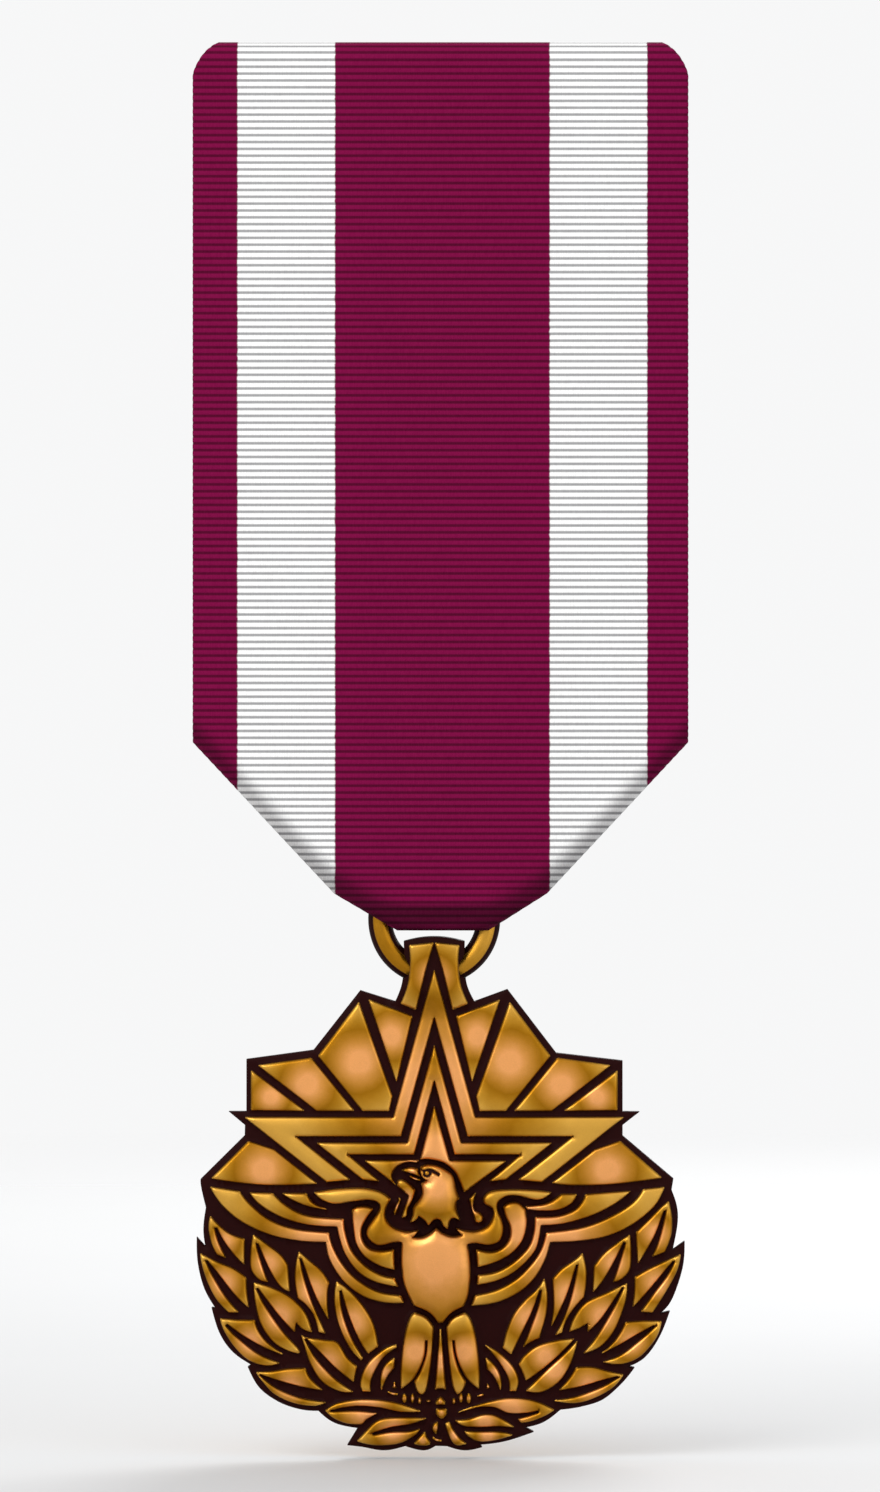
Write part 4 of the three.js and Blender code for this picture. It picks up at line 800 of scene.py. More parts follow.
def cell_points(loops, height, centre, reach, base):
    """Points inside one cell, with their rise, tone (painted highlight and shade) and gilding."""
    edge = np.concatenate(loops)
    chosen = [np.zeros((0, 2))]
    for gap, row in [pair for loop in loops for pair in offsets(loop, INSET_ROWS)]:
        row = row[inside(row, loops)]
        if len(row):
            chosen.append(row[distance_to(row, loops) > gap * 0.93])
    grid = hex_grid(edge.min(0), edge.max(0), CELL_GRID)
    grid = grid[inside(grid, loops)]
    if len(grid):
        chosen.append(grid[distance_to(grid, loops) > 0.36])
    points = np.concatenate(chosen)
    gap = distance_to(points, loops) if len(points) else np.zeros(0)
    if centre is None:
        weights = np.linalg.norm(np.roll(edge, -1, axis=0) - edge, axis=1)
        centre = (edge * weights[:, None]).sum(0) / weights.sum()
        upper = centre[1] > 1.3  # the rays keep more of the painted copper highlight than the leaves
        reach = np.linalg.norm(edge - centre, axis=1).max() * (0.92 if upper else 0.88)
    # tone is painted shading: 0 for the copper highlight at the middle, rising outwards through umber shade
    # to gold
    tone = np.linalg.norm(points - np.array(centre), axis=1) / reach
    rise = base + (height - base) * profile(distance_to(points, loops[:1]))
    if len(loops) > 1:
        rise -= LINE_DEPTH * (1 - smoothstep(0, WALL, distance_to(points, loops[1:])))
    return points, rise, np.clip(tone, 0, 1), smoothstep(0.0, 0.035, gap)


def triangulate(points, loops_index):
    """Triangles that keep every loop as edges and fill the first loop. Also gives each point's source."""
    verts, faces, origin = delaunay(points, loops_index, 1e-5)
    faces = faces[inside(verts[faces].mean(1), [points[loops_index[0]]])]
    side1 = verts[faces[:, 1]] - verts[faces[:, 0]]
    side2 = verts[faces[:, 2]] - verts[faces[:, 0]]
    flat = np.abs(side1[:, 0] * side2[:, 1] - side1[:, 1] * side2[:, 0]) < 2e-5
    faces = faces[~(flat & (faces < len(loops_index[0])).all(1))]
    source = np.array([o[0] if o else -1 for o in origin])
    return verts, [tuple(int(i) for i in f) for f in faces], source


def thin_points(points, gap):
    """Indices of the points that are left when none may be closer than gap to one kept before."""
    kept, squares = [], {}
    beside = [(dx, dz) for dx in (-1, 0, 1) for dz in (-1, 0, 1)]
    for i, (x, z) in enumerate(points):
        a, b = int(x // gap), int(z // gap)
        near = (j for dx, dz in beside for j in squares.get((a + dx, b + dz), ()))
        if all((points[j][0] - x) ** 2 + (points[j][1] - z) ** 2 > gap * gap for j in near):
            squares.setdefault((a, b), []).append(i)
            kept.append(i)
    return kept


def field_points(rim, loops):
    """Points of the sunken field, outside every cell."""
    rows = [row[inside(row, [rim])] for _, row in offsets(rim, (0.07, 0.2))]
    grid = hex_grid(rim.min(0), rim.max(0), FIELD_GRID)
    field = np.concatenate(rows + [grid[inside(grid, [rim])]])
    for loop in loops:
        field = field[~inside(field, [loop])]
    return field[distance_to(field, [rim] + loops) > 0.06]


def front_sheet(rim):
    """The struck front: vertices, depth in front of the ring plane, faces, tone and gilding."""
    nothing = np.zeros(len(rim))
    drawn = [(rim, nothing, nothing, nothing)]  # points, rise, tone and gilding of every loop
    inner = []  # the same inside the cells
    cells = [cell + (0.0,) for cell in all_cells()] + [([IRIS], IRIS_HEIGHT, None, None, EYE_FLOOR)]
    for shapes, height, centre, reach, base in cells:
        loops = [cell_outline(shape) for shape in shapes]
        loops[0] = grown(loops[0], DRAFT)
        for loop in loops:
            cut = height * profile(distance_to(loop, loops[:1])) - LINE_DEPTH
            rise = np.full(len(loop), base) if loop is loops[0] else cut
            drawn.append((loop, rise, np.full(len(loop), 0.7), np.zeros(len(loop))))
        inner.append(cell_points(loops, height, centre, reach, base))
    field = field_points(rim, [row[0] for row in drawn[1:]])
    inner.append((field,) + (np.zeros(len(field)),) * 3)
    inner = [np.concatenate(values) for values in zip(*inner)]
    kept = thin_points(inner[0], 0.045)
    points, *data = [np.concatenate(list(values) + [free[kept]]) for *values, free in zip(*drawn, inner)]
    starts = np.cumsum([0] + [len(row[0]) for row in drawn])
    loops_index = [list(range(a, b)) for a, b in zip(starts, starts[1:])]
    verts, faces, source = triangulate(points, loops_index)
    rise, tone, gold = (np.where(source >= 0, values[np.maximum(source, 0)], 0.0) for values in data)
    rounding = 0.14 * (1 - np.clip(distance_to(verts, [rim]) / 0.16, 0, 1)) ** 2
    lift = dome(verts) + body_bulge(verts) * smoothstep(0.0, 0.4, rise) + neck_swell(verts) * 0.85
    return verts, FRONT + lift + rise - rounding, faces, tone, gold


def back_sheet(rim):
    """The plain reverse with its raised border: vertices, depth behind the ring plane and faces."""
    gaps = (0.05, 0.13, RIM_WIDTH - 0.12, RIM_WIDTH, RIM_WIDTH + 0.12, RIM_WIDTH + 0.3)
    rows = []
    for gap, row in offsets(rim, gaps):
        row = row[inside(row, [rim])]
        rows.append(row[distance_to(row, [rim]) > gap * 0.93])
    grid = hex_grid(rim.min(0), rim.max(0), BACK_GRID)
    grid = grid[inside(grid, [rim])]
    rows.append(grid[distance_to(grid, [rim]) > RIM_WIDTH + 0.4])
    free = np.concatenate(rows)
    free = free[thin_points(free, 0.06)]
    verts, faces, _ = triangulate(np.concatenate([rim, free]), [list(range(len(rim)))])
    gap = distance_to(verts, [rim])
    sunk = RIM_HEIGHT * smoothstep(RIM_WIDTH - 0.13, RIM_WIDTH + 0.13, gap)
    middle = np.hypot(verts[:, 0], verts[:, 1] - MIDDLE_Z) / 16
    sunk += DISH * (1 - np.clip(middle, 0, 1) ** 2)
    rounding = 0.12 * (1 - np.clip(gap / 0.18, 0, 1)) ** 2
    depth = BACK - rounding - sunk * below_neck(verts) + neck_swell(verts) * 0.55
    return verts, depth, faces


def bore_cutter():
    """The room that the ring's wire needs as the pendant rocks on it: a bore that widens to both sides."""
    swing = math.radians(42)
    reach, clearance = 3.0, 0.2
    verts = []
    count, stations = 48, 17
    for i in range(stations):
        x = -reach + 2 * reach * i / (stations - 1)
        rise = RING_RADIUS - math.sqrt(RING_RADIUS ** 2 - x * x)
        tilt = math.cos(math.asin(x / RING_RADIUS))
        radius = (WIRE + clearance) / tilt
        for k in range(count):
            angle = -math.pi + 2 * math.pi * (k + 0.5) / count
            held = max(-swing, min(swing, angle))
            y = rise * math.sin(held) + radius * math.sin(angle)
            z = rise * math.cos(held) + radius * math.cos(angle)
            verts.append((RING_CENTRE[0] + x, RING_CENTRE[1] + y, RING_CENTRE[2] - RING_RADIUS + z))
    return verts, tube_faces(stations, count)


def pendant(material):
    """The struck disc: its front and reverse, joined round the rim and bored through the neck."""
    rim = outline(RIM, RIM_STEP)
    front, front_depth, front_faces, tone, gold = front_sheet(rim)
    back, back_depth, back_faces = back_sheet(rim)
    y0 = RING_CENTRE[1]
    verts = [(x, y0 - d, z + FIELD_Z) for (x, z), d in zip(front, front_depth)]
    verts += [(x, y0 + d, z + FIELD_Z) for (x, z), d in zip(back, back_depth)]
    shift = len(front)
    faces = front_faces + [tuple(i + shift for i in reversed(f)) for f in back_faces]
    for i in range(len(rim)):
        j = (i + 1) % len(rim)
        faces.append((i, j, j + shift, i + shift))
    values = {
        "tone": np.concatenate([tone, back_tone(back, rim)]),
        "gold": np.concatenate([gold, back_gold(back, rim)]),
        "satin": np.concatenate([np.zeros(len(front)), back_satin(back, rim)]),
    }
    obj = new_object("pendant_struck", verts, faces, "pendant", material, values)
    face_out(obj)
    carve(obj, *bore_cutter())
    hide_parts("pendant")


def back_gold(points, rim):
    """Patina gathers on the outer edge and at the foot of the raised border."""
    gap = distance_to(points, [rim])
    foot = np.exp(-((gap - RIM_WIDTH - 0.12) / 0.16) ** 2) * below_neck(points)
    return smoothstep(0.04, 0.14, gap) * (1 - 0.55 * foot)


def back_tone(points, rim):
    """Golden border, and a browner field."""
    gap = distance_to(points, [rim])
    field = smoothstep(RIM_WIDTH - 0.1, RIM_WIDTH + 0.3, gap)
    glow = np.exp(-(points[:, 0] ** 2 + (points[:, 1] - MIDDLE_Z) ** 2) / 60)
    return 0.95 - field * (0.2 + 0.1 * glow)


def back_satin(points, rim):
    """Only the reverse's field is brushed."""
    return smoothstep(RIM_WIDTH, RIM_WIDTH + 0.3, distance_to(points, [rim]))


def below_neck(points):
    """1 on the disc and 0 on the neck."""
    return 1 - smoothstep(11.5, 13.5, points[:, 1])


# ------------------------------------------------------------------ suspension ring
RING_SWELL = 0.08  # thickness of the patina and gilding on the wire


def suspension_ring(material):
    """Round wire bent to a circle, its two ends butted under the ribbon."""
    steps, around = 180, 36
    gap = 0.012  # radians left between each end and the top
    verts, tone, gold = [], [], []
    for i in range(steps + 1):
        angle = math.pi / 2 + gap + (2 * math.pi - 2 * gap) * i / steps
        near_end = min(i, steps - i) * 2 * math.pi * RING_RADIUS / steps
        wire = (WIRE + RING_SWELL) * (1 - 0.10 * max(0.0, 1 - near_end / 0.25) ** 2)
        wire *= 1 + 0.006 * math.sin(3 * angle + 1) + 0.004 * math.sin(7 * angle)  # never quite even
        for k in range(around):
            turn = 2 * math.pi * k / around
            reach = RING_RADIUS + wire * math.cos(turn)
            offset = (reach * math.cos(angle), -wire * math.sin(turn), reach * math.sin(angle))
            verts.append(RING_CENTRE + offset)
            gold.append(float(smoothstep(0.73, 0.88, abs(math.sin(turn)))))
            # painted shading round the ring: golden at the upper right, browner towards the lower left
            tone.append(0.80 + 0.18 * math.cos(angle - 0.9))
    faces = tube_faces(steps + 1, around)
    values = {"tone": tone, "gold": gold}
    obj = new_object("suspension_ring_wire", verts, faces, "ring", material, values)
    face_out(obj)
    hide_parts("suspension_ring")


# ------------------------------------------------------------------ ribbon
RIB_HEIGHT = 0.055
RIB_STEPS = 5  # rows of vertices per rib
RIBBON_HALF = 17.5
THICK = 0.4
BAR_Z = 5.4  # the ribbon turns round the brooch's bar here
LOOP_RADIUS = 1.16
LOOP_Y = -0.4
FRONT_Y = LOOP_Y - LOOP_RADIUS  # middle of the visible ply
LOOP_HALF = 15.3  # half width in the brooch's slot
SIDE_Z = RIBBON_TOP - 49.6  # where the oblique folds begin
KNEE_Z = RIBBON_TOP - 60.3  # where they end and the lower folds begin
KNEE_HALF = 7.5
HEM_HALF = 3.22
HEM_SHADE = 2.1  # height of the painted shade band above the hem
HEM_SHIFT = 0.17  # the hem lies a little to the right
SLOT_Z = BAR_Z - LOOP_RADIUS  # the ribbon passes the slot at this height
REAR_Y = -1.1  # middle of the ply behind
NARROW_Z = -38.0  # where the ply behind leaves its flat run
TURN_Z = RING_CENTRE[2] + RING_RADIUS - 0.3  # centre of the turn under the ring's wire
TURN_RADIUS = WIRE + 0.15 + THICK / 2
TONGUE_HALF = 1.3
TONGUE_RISE = 2.2  # length of the rear ply in front of the ring
GATHERS = 3  # pleats across the gathered part of the rear ply


def rib_crest(along):
    """Height of the weft ribs: 0 in the grooves and 1 on the crests."""
    off_crest = abs(along / RIB_PITCH % 1.0 - 0.5)
    return 1 - max(0.0, (off_crest - 0.12) / 0.38) ** 2


def spread(t):
    """Columns closer together towards both edges."""
    u = 2 * t - 1
    return math.copysign(1 - (1 - abs(u)) ** 1.35, u)


def woven(name, verts, faces, across, along, shade, material):
    """A piece of ribbon. Each vertex knows its place in the weave and how dark a fold shades it."""
    values = {"across": across, "along": along, "shade": shade}
    obj = new_object(name, verts, faces, "ribbon", material, values)
    face_out(obj)
    return obj


def woven_strip(name, start, length, columns, place, material):
    """A closed band of ribbed cloth. place(s, u) gives the midpoint, the normal, half the thickness,
    the position across the full ribbon and the depth of shade, at s along and u across (-1..1)."""
    rows = int(length / (RIB_PITCH / RIB_STEPS)) + 1
    verts, across, along, shade = [], [], [], []
    for side in (1, -1):
        for i in range(rows):
            s = start + length * i / (rows - 1)
            crest = rib_crest(s)
            for k in range(columns):
                point, normal, half, x, dark = place(s, spread(k / (columns - 1)))
                out = side * (half - RIB_HEIGHT + RIB_HEIGHT * crest)
                verts.append([point[c] + normal[c] * out for c in range(3)])
                across.append(x)
                along.append(s)
                shade.append(dark)
    return woven(name, verts, sheet_faces(rows, columns), across, along, shade, material)


def front_half_width(z):
    """Half width of the visible ply: rounded head, straight sides, two oblique folds on each side."""
    drop = RIBBON_TOP - z
    corner_drop, corner_x, corner_radius, corner_end = 3.18, 14.19, 3.4, 2.4
    if drop < corner_end:
        return corner_x + math.sqrt(max(0.0, corner_radius ** 2 - (corner_drop - drop) ** 2))
    if z > SIDE_Z:
        return RIBBON_HALF
    if z > KNEE_Z:
        return KNEE_HALF + (RIBBON_HALF - KNEE_HALF) * (z - KNEE_Z) / (SIDE_Z - KNEE_Z)
    return HEM_HALF + (KNEE_HALF - HEM_HALF) * (z - RIBBON_BOTTOM) / (KNEE_Z - RIBBON_BOTTOM)


def fold_gap(x, z):
    """Distances of a point of the front ply from the nearest folded edge, the lower fold and the hem."""
    def line(x1, z1, x2, z2):
        length = math.hypot(x2 - x1, z2 - z1)
        return ((z - z1) * (x2 - x1) - (abs(x) - x1) * (z2 - z1)) / length

    oblique = line(KNEE_HALF, KNEE_Z, RIBBON_HALF, SIDE_Z)
    lower = line(HEM_HALF, RIBBON_BOTTOM, KNEE_HALF, KNEE_Z)
    return max(0.0, min(oblique, lower)), max(0.0, lower), z - RIBBON_BOTTOM


def fold_shade(oblique, lower, hem):
    """Painted shade beside the folds and in a band above the hem, 0 to 1."""
    shade = 0.72 * math.exp(-((oblique - 0.5) / 0.66) ** 2)
    shade = 1 - (1 - shade) * (1 - 0.5 * math.exp(-((lower - 0.8) / 0.9) ** 2))
    low = max(0.0, min(1.0, (HEM_SHADE - hem) / 0.5)) * (0.62 + 0.38 * min(1.0, hem / 0.8))
    return 1 - (1 - shade) * (1 - low)


def ribbon_front(material):
    """The visible ply: from the hem up, over the bar and down behind it into the slot."""
    bottom = RIBBON_BOTTOM - BAR_Z
    around = 1.5 * math.pi * LOOP_RADIUS
    top_half = 15.45  # half width at the top of the bar
    roll_height, roll_width, roll_limit = 0.40, 0.6, 0.44  # the folded edges turn backwards

    def place(s, u):
        crest = rib_crest(s)
        if s < 0:
            y, z, normal = FRONT_Y, BAR_Z + s, (0, -1, 0)
        else:
            angle = math.pi - s / LOOP_RADIUS
            normal = (0, math.cos(angle), math.sin(angle))
            y, z = LOOP_Y + LOOP_RADIUS * normal[1], BAR_Z + LOOP_RADIUS * normal[2]
        behind = max(0.0, min(1.0, (s - LOOP_RADIUS * math.pi / 2) / 0.4))
        half_width = front_half_width(z) if behind == 0 else top_half * (1 - behind) + LOOP_HALF * behind
        x = u * (half_width - 0.01 + 0.035 * crest)
        oblique, lower, hem = fold_gap(x, z)
        x += HEM_SHIFT * max(0.0, (KNEE_Z - z) / (KNEE_Z - RIBBON_BOTTOM))
        roll = roll_height * max(0.0, 1 - oblique / roll_width) ** 2
        roll += roll_height * max(0.0, 1 - hem / roll_width) ** 2
        ease = max(0.0, min(1.0, -s / 4)) * max(0.0, min(1.0, oblique / 3))
        swell = 0.10 * math.exp(-((oblique - 1.0) / 0.7) ** 2) * ease
        wave = 0.07 * (1 + math.sin(0.11 * z + 0.7) * math.sin(0.16 * x + 0.4)) * ease
        half = THICK / 2 * (1 - 0.3 * max(0.0, 1 - (half_width - abs(x)) / 0.12))
        middle = (x, y + min(roll, roll_limit) - wave - swell, z)
        return middle, normal, half, x, fold_shade(oblique, lower, hem)

    obj = woven_strip("ribbon_front_ply", bottom, around - bottom, 60, place, material)
    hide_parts("ribbon")


def rear_path():
    """Midline of the rear ply in Y and Z, from the slot to its sewn end in front of the ring."""
    path = [(LOOP_Y, SLOT_Z)]
    bend = 0.4
    for i in range(1, 7):
        angle = math.radians(90 + 15 * i)
        path.append((REAR_Y + bend + bend * math.cos(angle), SLOT_Z - bend + bend * math.sin(angle)))
    low = RING_CENTRE[1] + TURN_RADIUS
    for i in range(1, 30):
        path.append((REAR_Y, SLOT_Z - bend + (NARROW_Z - SLOT_Z + bend) * i / 29))
    for i in range(1, 25):
        t = i / 24
        rise = t * t * (3 - 2 * t)
        path.append((REAR_Y + (low - REAR_Y) * rise, NARROW_Z + (TURN_Z - NARROW_Z) * t))
    for i in range(1, 19):
        angle = -math.pi * i / 18
        path.append((RING_CENTRE[1] + TURN_RADIUS * math.cos(angle), TURN_Z + TURN_RADIUS * math.sin(angle)))
    path.append((RING_CENTRE[1] - TURN_RADIUS, TURN_Z + TONGUE_RISE))
    return np.array(path)


def ribbon_rear(material):
    """The ply behind: it narrows in pleats, passes round the ring's wire and ends behind the hem."""
    path = rear_path()
    steps = np.linalg.norm(np.diff(path, axis=0), axis=1)
    lengths = np.concatenate([[0], np.cumsum(steps)])
    total = lengths[-1]
    turn_start = total - (TONGUE_RISE + math.pi * TURN_RADIUS)
    taper_start = float(np.interp(-NARROW_Z - 1.0, -path[:, 1], lengths))

    def at(s):
        return np.array([np.interp(s, lengths, path[:, 0]), np.interp(s, lengths, path[:, 1])])

    def place(s, u):
        point = at(s)
        along = at(min(s + 0.1, total)) - at(max(s - 0.1, 0.0))
        along /= np.linalg.norm(along)
        normal = (0, -along[1], along[0])
        t = max(0.0, min(1.0, (s - taper_start) / (turn_start - taper_start)))
        gather = t * t * (3 - 2 * t)
        half_width = LOOP_HALF + (TONGUE_HALF - LOOP_HALF) * (0.4 * gather + 0.6 * t ** 1.4)
        centre = RING_CENTRE[0] * gather
        pleat = 0.75 * gather * (1 - gather * 0.8)
        out = pleat * math.cos(2 * math.pi * GATHERS * u) - pleat
        x = centre + u * (half_width - 0.035 + 0.035 * rib_crest(s))
        x -= 0.25 * pleat * math.sin(4 * math.pi * GATHERS * u)
        # painted shade in the hollows of the pleats
        shade = 0.35 * gather * (0.5 - 0.5 * math.cos(2 * math.pi * GATHERS * u))
        middle = (x, point[0] - normal[1] * out, point[1] - normal[2] * out)
        half = THICK / 2 * (1 - 0.3 * max(0.0, 1 - half_width * (1 - abs(u)) / 0.12))
        return middle, normal, half, u * RIBBON_HALF, shade

    woven_strip("ribbon_rear_ply", 0.0, total, 44, place, material)


def folded_corner(name, side, material):
    """The corner that the oblique fold turns behind the front ply: its ribs and stripes turn with it."""
    inner = 0.9
    shape = [
        (inner, SIDE_Z - inner), (inner, KNEE_Z + 1.6), (HEM_HALF, RIBBON_BOTTOM + 0.15),
        (KNEE_HALF, KNEE_Z), (RIBBON_HALF, SIDE_Z),
    ]
    turn = math.atan2(SIDE_Z - KNEE_Z, RIBBON_HALF - KNEE_HALF)
    cos2, sin2 = math.cos(2 * turn), math.sin(2 * turn)

    def fold(x, z):
        """A point turned over about the fold. Turned over twice, it is back in its place."""
        dx, dz = x - RIBBON_HALF, z - SIDE_Z
        return RIBBON_HALF + cos2 * dx + sin2 * dz, SIDE_Z + sin2 * dx - cos2 * dz

    edge = outline(shape, 0.4)
    (left, low), (right, high) = (f([fold(x, z) for x, z in shape], axis=0) for f in (np.min, np.max))
    columns = np.arange(left, right, 0.7)
    rows = np.array([fold(x, z) for z in np.arange(low, high, RIB_PITCH / RIB_STEPS) for x in columns])
    rows = rows[inside(rows, [edge])]
    rows = rows[distance_to(rows, [edge]) > 0.05]
    verts, faces, _ = triangulate(np.concatenate([edge, rows]), [list(range(len(edge)))])
    laid = np.array([fold(x, z) for x, z in verts])
    gap = distance_to(verts, [edge])
    from_fold = np.array([fold_gap(x, z)[0] for x, z in verts])
    crest = np.array([rib_crest(z - BAR_Z) for z in laid[:, 1]])
    clear_of_ring = np.clip((verts[:, 0] - 5.3) / 2, 0, 1)
    front = FRONT_Y + THICK / 2 - 0.01 + 0.25 * np.clip(1 - from_fold / 0.5, 0, 1) ** 2 * clear_of_ring
    back = front + THICK - RIB_HEIGHT + RIB_HEIGHT * crest - 0.12 * np.clip(1 - gap / 0.12, 0, 1)
    count = len(verts)
    points = [(side * x, y, z) for (x, z), y in zip(verts, front)]
    points += [(side * x, y, z) for (x, z), y in zip(verts, back)]
    sheets = faces + [tuple(i + count for i in reversed(f)) for f in faces]
    ring = list(range(len(edge)))
    sheets += [(a, b, b + count, a + count) for a, b in zip(ring, ring[1:] + ring[:1])]
    # painted shade along the corner's edges, away from the fold
    shade = 0.375 * np.exp(-gap / 0.35) * (from_fold > 0.3)
    across, along, shade = (np.tile(values, 2) for values in (laid[:, 0], laid[:, 1] - BAR_Z, shade))
    woven(name, points, sheets, across, along, shade, material)


def sewn_tongue(material):
    """The stack between the front ply and the turned end of the rear ply, behind the hem."""
    rows, columns = 46, 22
    verts, across, along = [], [], []
    foot, top = RIBBON_BOTTOM + 0.25, TURN_Z + 1.5
    front = FRONT_Y + THICK / 2 - 0.02
    back = RING_CENTRE[1] - TURN_RADIUS + THICK / 2 - 0.05
    for side in (0, 1):
        for i in range(rows):
            t = i / (rows - 1)
            z = foot + (top - foot) * t
            left = -HEM_HALF + (HEM_HALF + RING_CENTRE[0] - TONGUE_HALF) * t + 0.15
            right = HEM_HALF + (RING_CENTRE[0] + TONGUE_HALF - HEM_HALF) * t - 0.15
            rib = RIB_HEIGHT * (1 - rib_crest(z - BAR_Z))
            thin = max(0.0, 1 - (z - foot) / 0.5) ** 2 * 0.18
            for k in range(columns):
                u = k / (columns - 1)
                x = left + (right - left) * u
                pleat = 0.05 * math.cos(2 * math.pi * GATHERS * (2 * u - 1)) * t
                verts.append((x, front if side == 0 else back - rib - thin + pleat, z))
                across.append(x)
                along.append(z - BAR_Z)
    # painted shade, even over the whole stack behind the hem
    shade = [0.3] * len(verts)
    woven("ribbon_tongue", verts, sheet_faces(rows, columns), across, along, shade, material)


# ------------------------------------------------------------------ sewing thread
def stitches(name, node, points, cloth_y, material):
    """Two-ply thread in stitches: it rises from the cloth and dives back at every point."""
    verts, faces = [], []
    radius, arch_height, twist_length = 0.10, 0.21, 0.55
    around, stations = 10, 13
    travelled = 0.0
    for (x1, z1), (x2, z2) in zip(points, points[1:]):
        along = np.array([x2 - x1, 0.0, z2 - z1])
        length = float(np.linalg.norm(along))
        along /= length
        side = np.array([-along[2], 0.0, along[0]])
        base = len(verts)
        for i in range(stations):
            t = i / (stations - 1)
            arch = math.sqrt(max(0.0, math.sin(math.pi * t)))
            centre = np.array([x1 + (x2 - x1) * t, cloth_y - radius + arch_height * arch, z1 + (z2 - z1) * t])
            turn = 2 * math.pi * (travelled + length * t) / twist_length
            for k in range(around):
                angle = 2 * math.pi * k / around
                r = radius * (0.82 + 0.22 * math.cos(2 * (angle - turn)))
                verts.append(centre + side * r * math.cos(angle) + np.array([0, r * math.sin(angle), 0]))
        faces += tube_faces(stations, around, base)
        travelled += length
    obj = new_object(name, verts, faces, "ribbon", material)
    face_out(obj)
    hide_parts(node)


def sewing(material):
    """A zigzag seam across the rear ply, and a column of tacks on each folded corner."""
    seam_half, seam_low, seam_high = 13.5, -33.0, -32.2
    seam = [(seam_half * (i / 13 - 1), seam_high if i % 2 else seam_low) for i in range(27)]
    stitches("seam_stitches", "seam_thread", seam, REAR_Y + THICK / 2, material)
    tack_near, tack_far, tack_top, tack_step = 1.6, 2.6, -44.8, 0.5
    for side, word in ((-1, "left"), (1, "right")):
        tack = [(side * (tack_near if i % 2 else tack_far), tack_top - tack_step * i) for i in range(9)]
        stitches(f"tack_stitches_{word}", f"corner_tack_{word}", tack, FRONT_Y + 1.5 * THICK, material)


# ------------------------------------------------------------------ stage
BACKDROP = (0.93, 0.932, 0.935)
BRIGHTEST = (-0.15, -0.72, 0.68)  # where most of the studio's light comes from
FLOOR_GAP = 0.6  # the medal hangs this far above the floor
FRAME_HEIGHT = 105.5  # what the camera's frame spans, at the pendant's depth
CAMERA_X = -0.035
CAMERA_DROP = 49.85  # the camera looks along a level this far below the ribbon's top
LENS = 200
SENSOR = 36


def studio_world():
    """Pale all round to the camera; to the object it is brightest in front and above."""
    world = bpy.data.worlds.new("studio")
    bpy.context.scene.world = world
    world.use_nodes = True
    nodes, links = world.node_tree.nodes, world.node_tree.links
    nodes.clear()

    def add(kind, **settings):
        node = nodes.new("ShaderNode" + kind)
        for key, value in settings.items():
            setattr(node, key, value)
        return node

    place = add("TexCoord")
    toward = add("VectorMath", operation="DOT_PRODUCT")
    toward.inputs[1].default_value = BRIGHTEST
    links.new(place.outputs["Generated"], toward.inputs[0])
    level = add("MapRange")
    for key, value in (("From Min", -1.0), ("From Max", 1.0), ("To Min", 0.30), ("To Max", 1.02)):
        level.inputs[key].default_value = value
    links.new(toward.outputs["Value"], level.inputs["Value"])
    glow, backdrop, out = add("Background"), add("Background"), add("OutputWorld")
    glow.inputs[0].default_value = (0.98, 0.99, 1.0, 1)
    links.new(level.outputs[0], glow.inputs[1])
    backdrop.inputs[0].default_value = (*BACKDROP, 1)
    path, mix = add("LightPath"), add("MixShader")
    links.new(path.outputs["Is Camera Ray"], mix.inputs[0])
    links.new(glow.outputs[0], mix.inputs[1])
    links.new(backdrop.outputs[0], mix.inputs[2])
    links.new(mix.outputs[0], out.inputs[0])


def lights_and_camera():
    """A soft key from the left, a weaker fill from the right, a lamp behind, and a long lens in front."""
    scene = bpy.context.scene
    scene.view_settings.view_transform = "Standard"
    studio_world()
    for name, place, size, power, tint in (
        ("key", (-0.25, -0.36, 0.26), 0.32, 1.15, (1, 0.98, 0.95)),
        ("fill", (0.36, -0.36, 0.0), 0.35, 0.35, (0.95, 0.97, 1)),
        ("back", (0.16, 0.40, 0.18), 0.30, 1.5, (1, 1, 1)),
    ):
        data = bpy.data.lights.new(name, "AREA")
        data.energy, data.size, data.color = power, size, tint
        lamp = bpy.data.objects.new(name, data)
        scene.collection.objects.link(lamp)
        lamp.location = place
        lamp.rotation_euler = (Vector((0, 0, -0.05)) - Vector(place)).to_track_quat("-Z", "Y").to_euler()
    camera_data = bpy.data.cameras.new("camera")
    camera_data.lens = LENS
    camera_data.sensor_width = SENSOR
    camera_data.clip_start = 0.01
    camera = bpy.data.objects.new("camera", camera_data)
    scene.collection.objects.link(camera)
    face_y = -1.5  # the frame's height is measured at this depth
    camera_y = face_y - FRAME_HEIGHT * LENS / SENSOR
    camera.location = Vector((CAMERA_X, camera_y, RIBBON_TOP - CAMERA_DROP)) * MM
    camera.rotation_euler = (math.pi / 2, 0, 0)
    scene.camera = camera


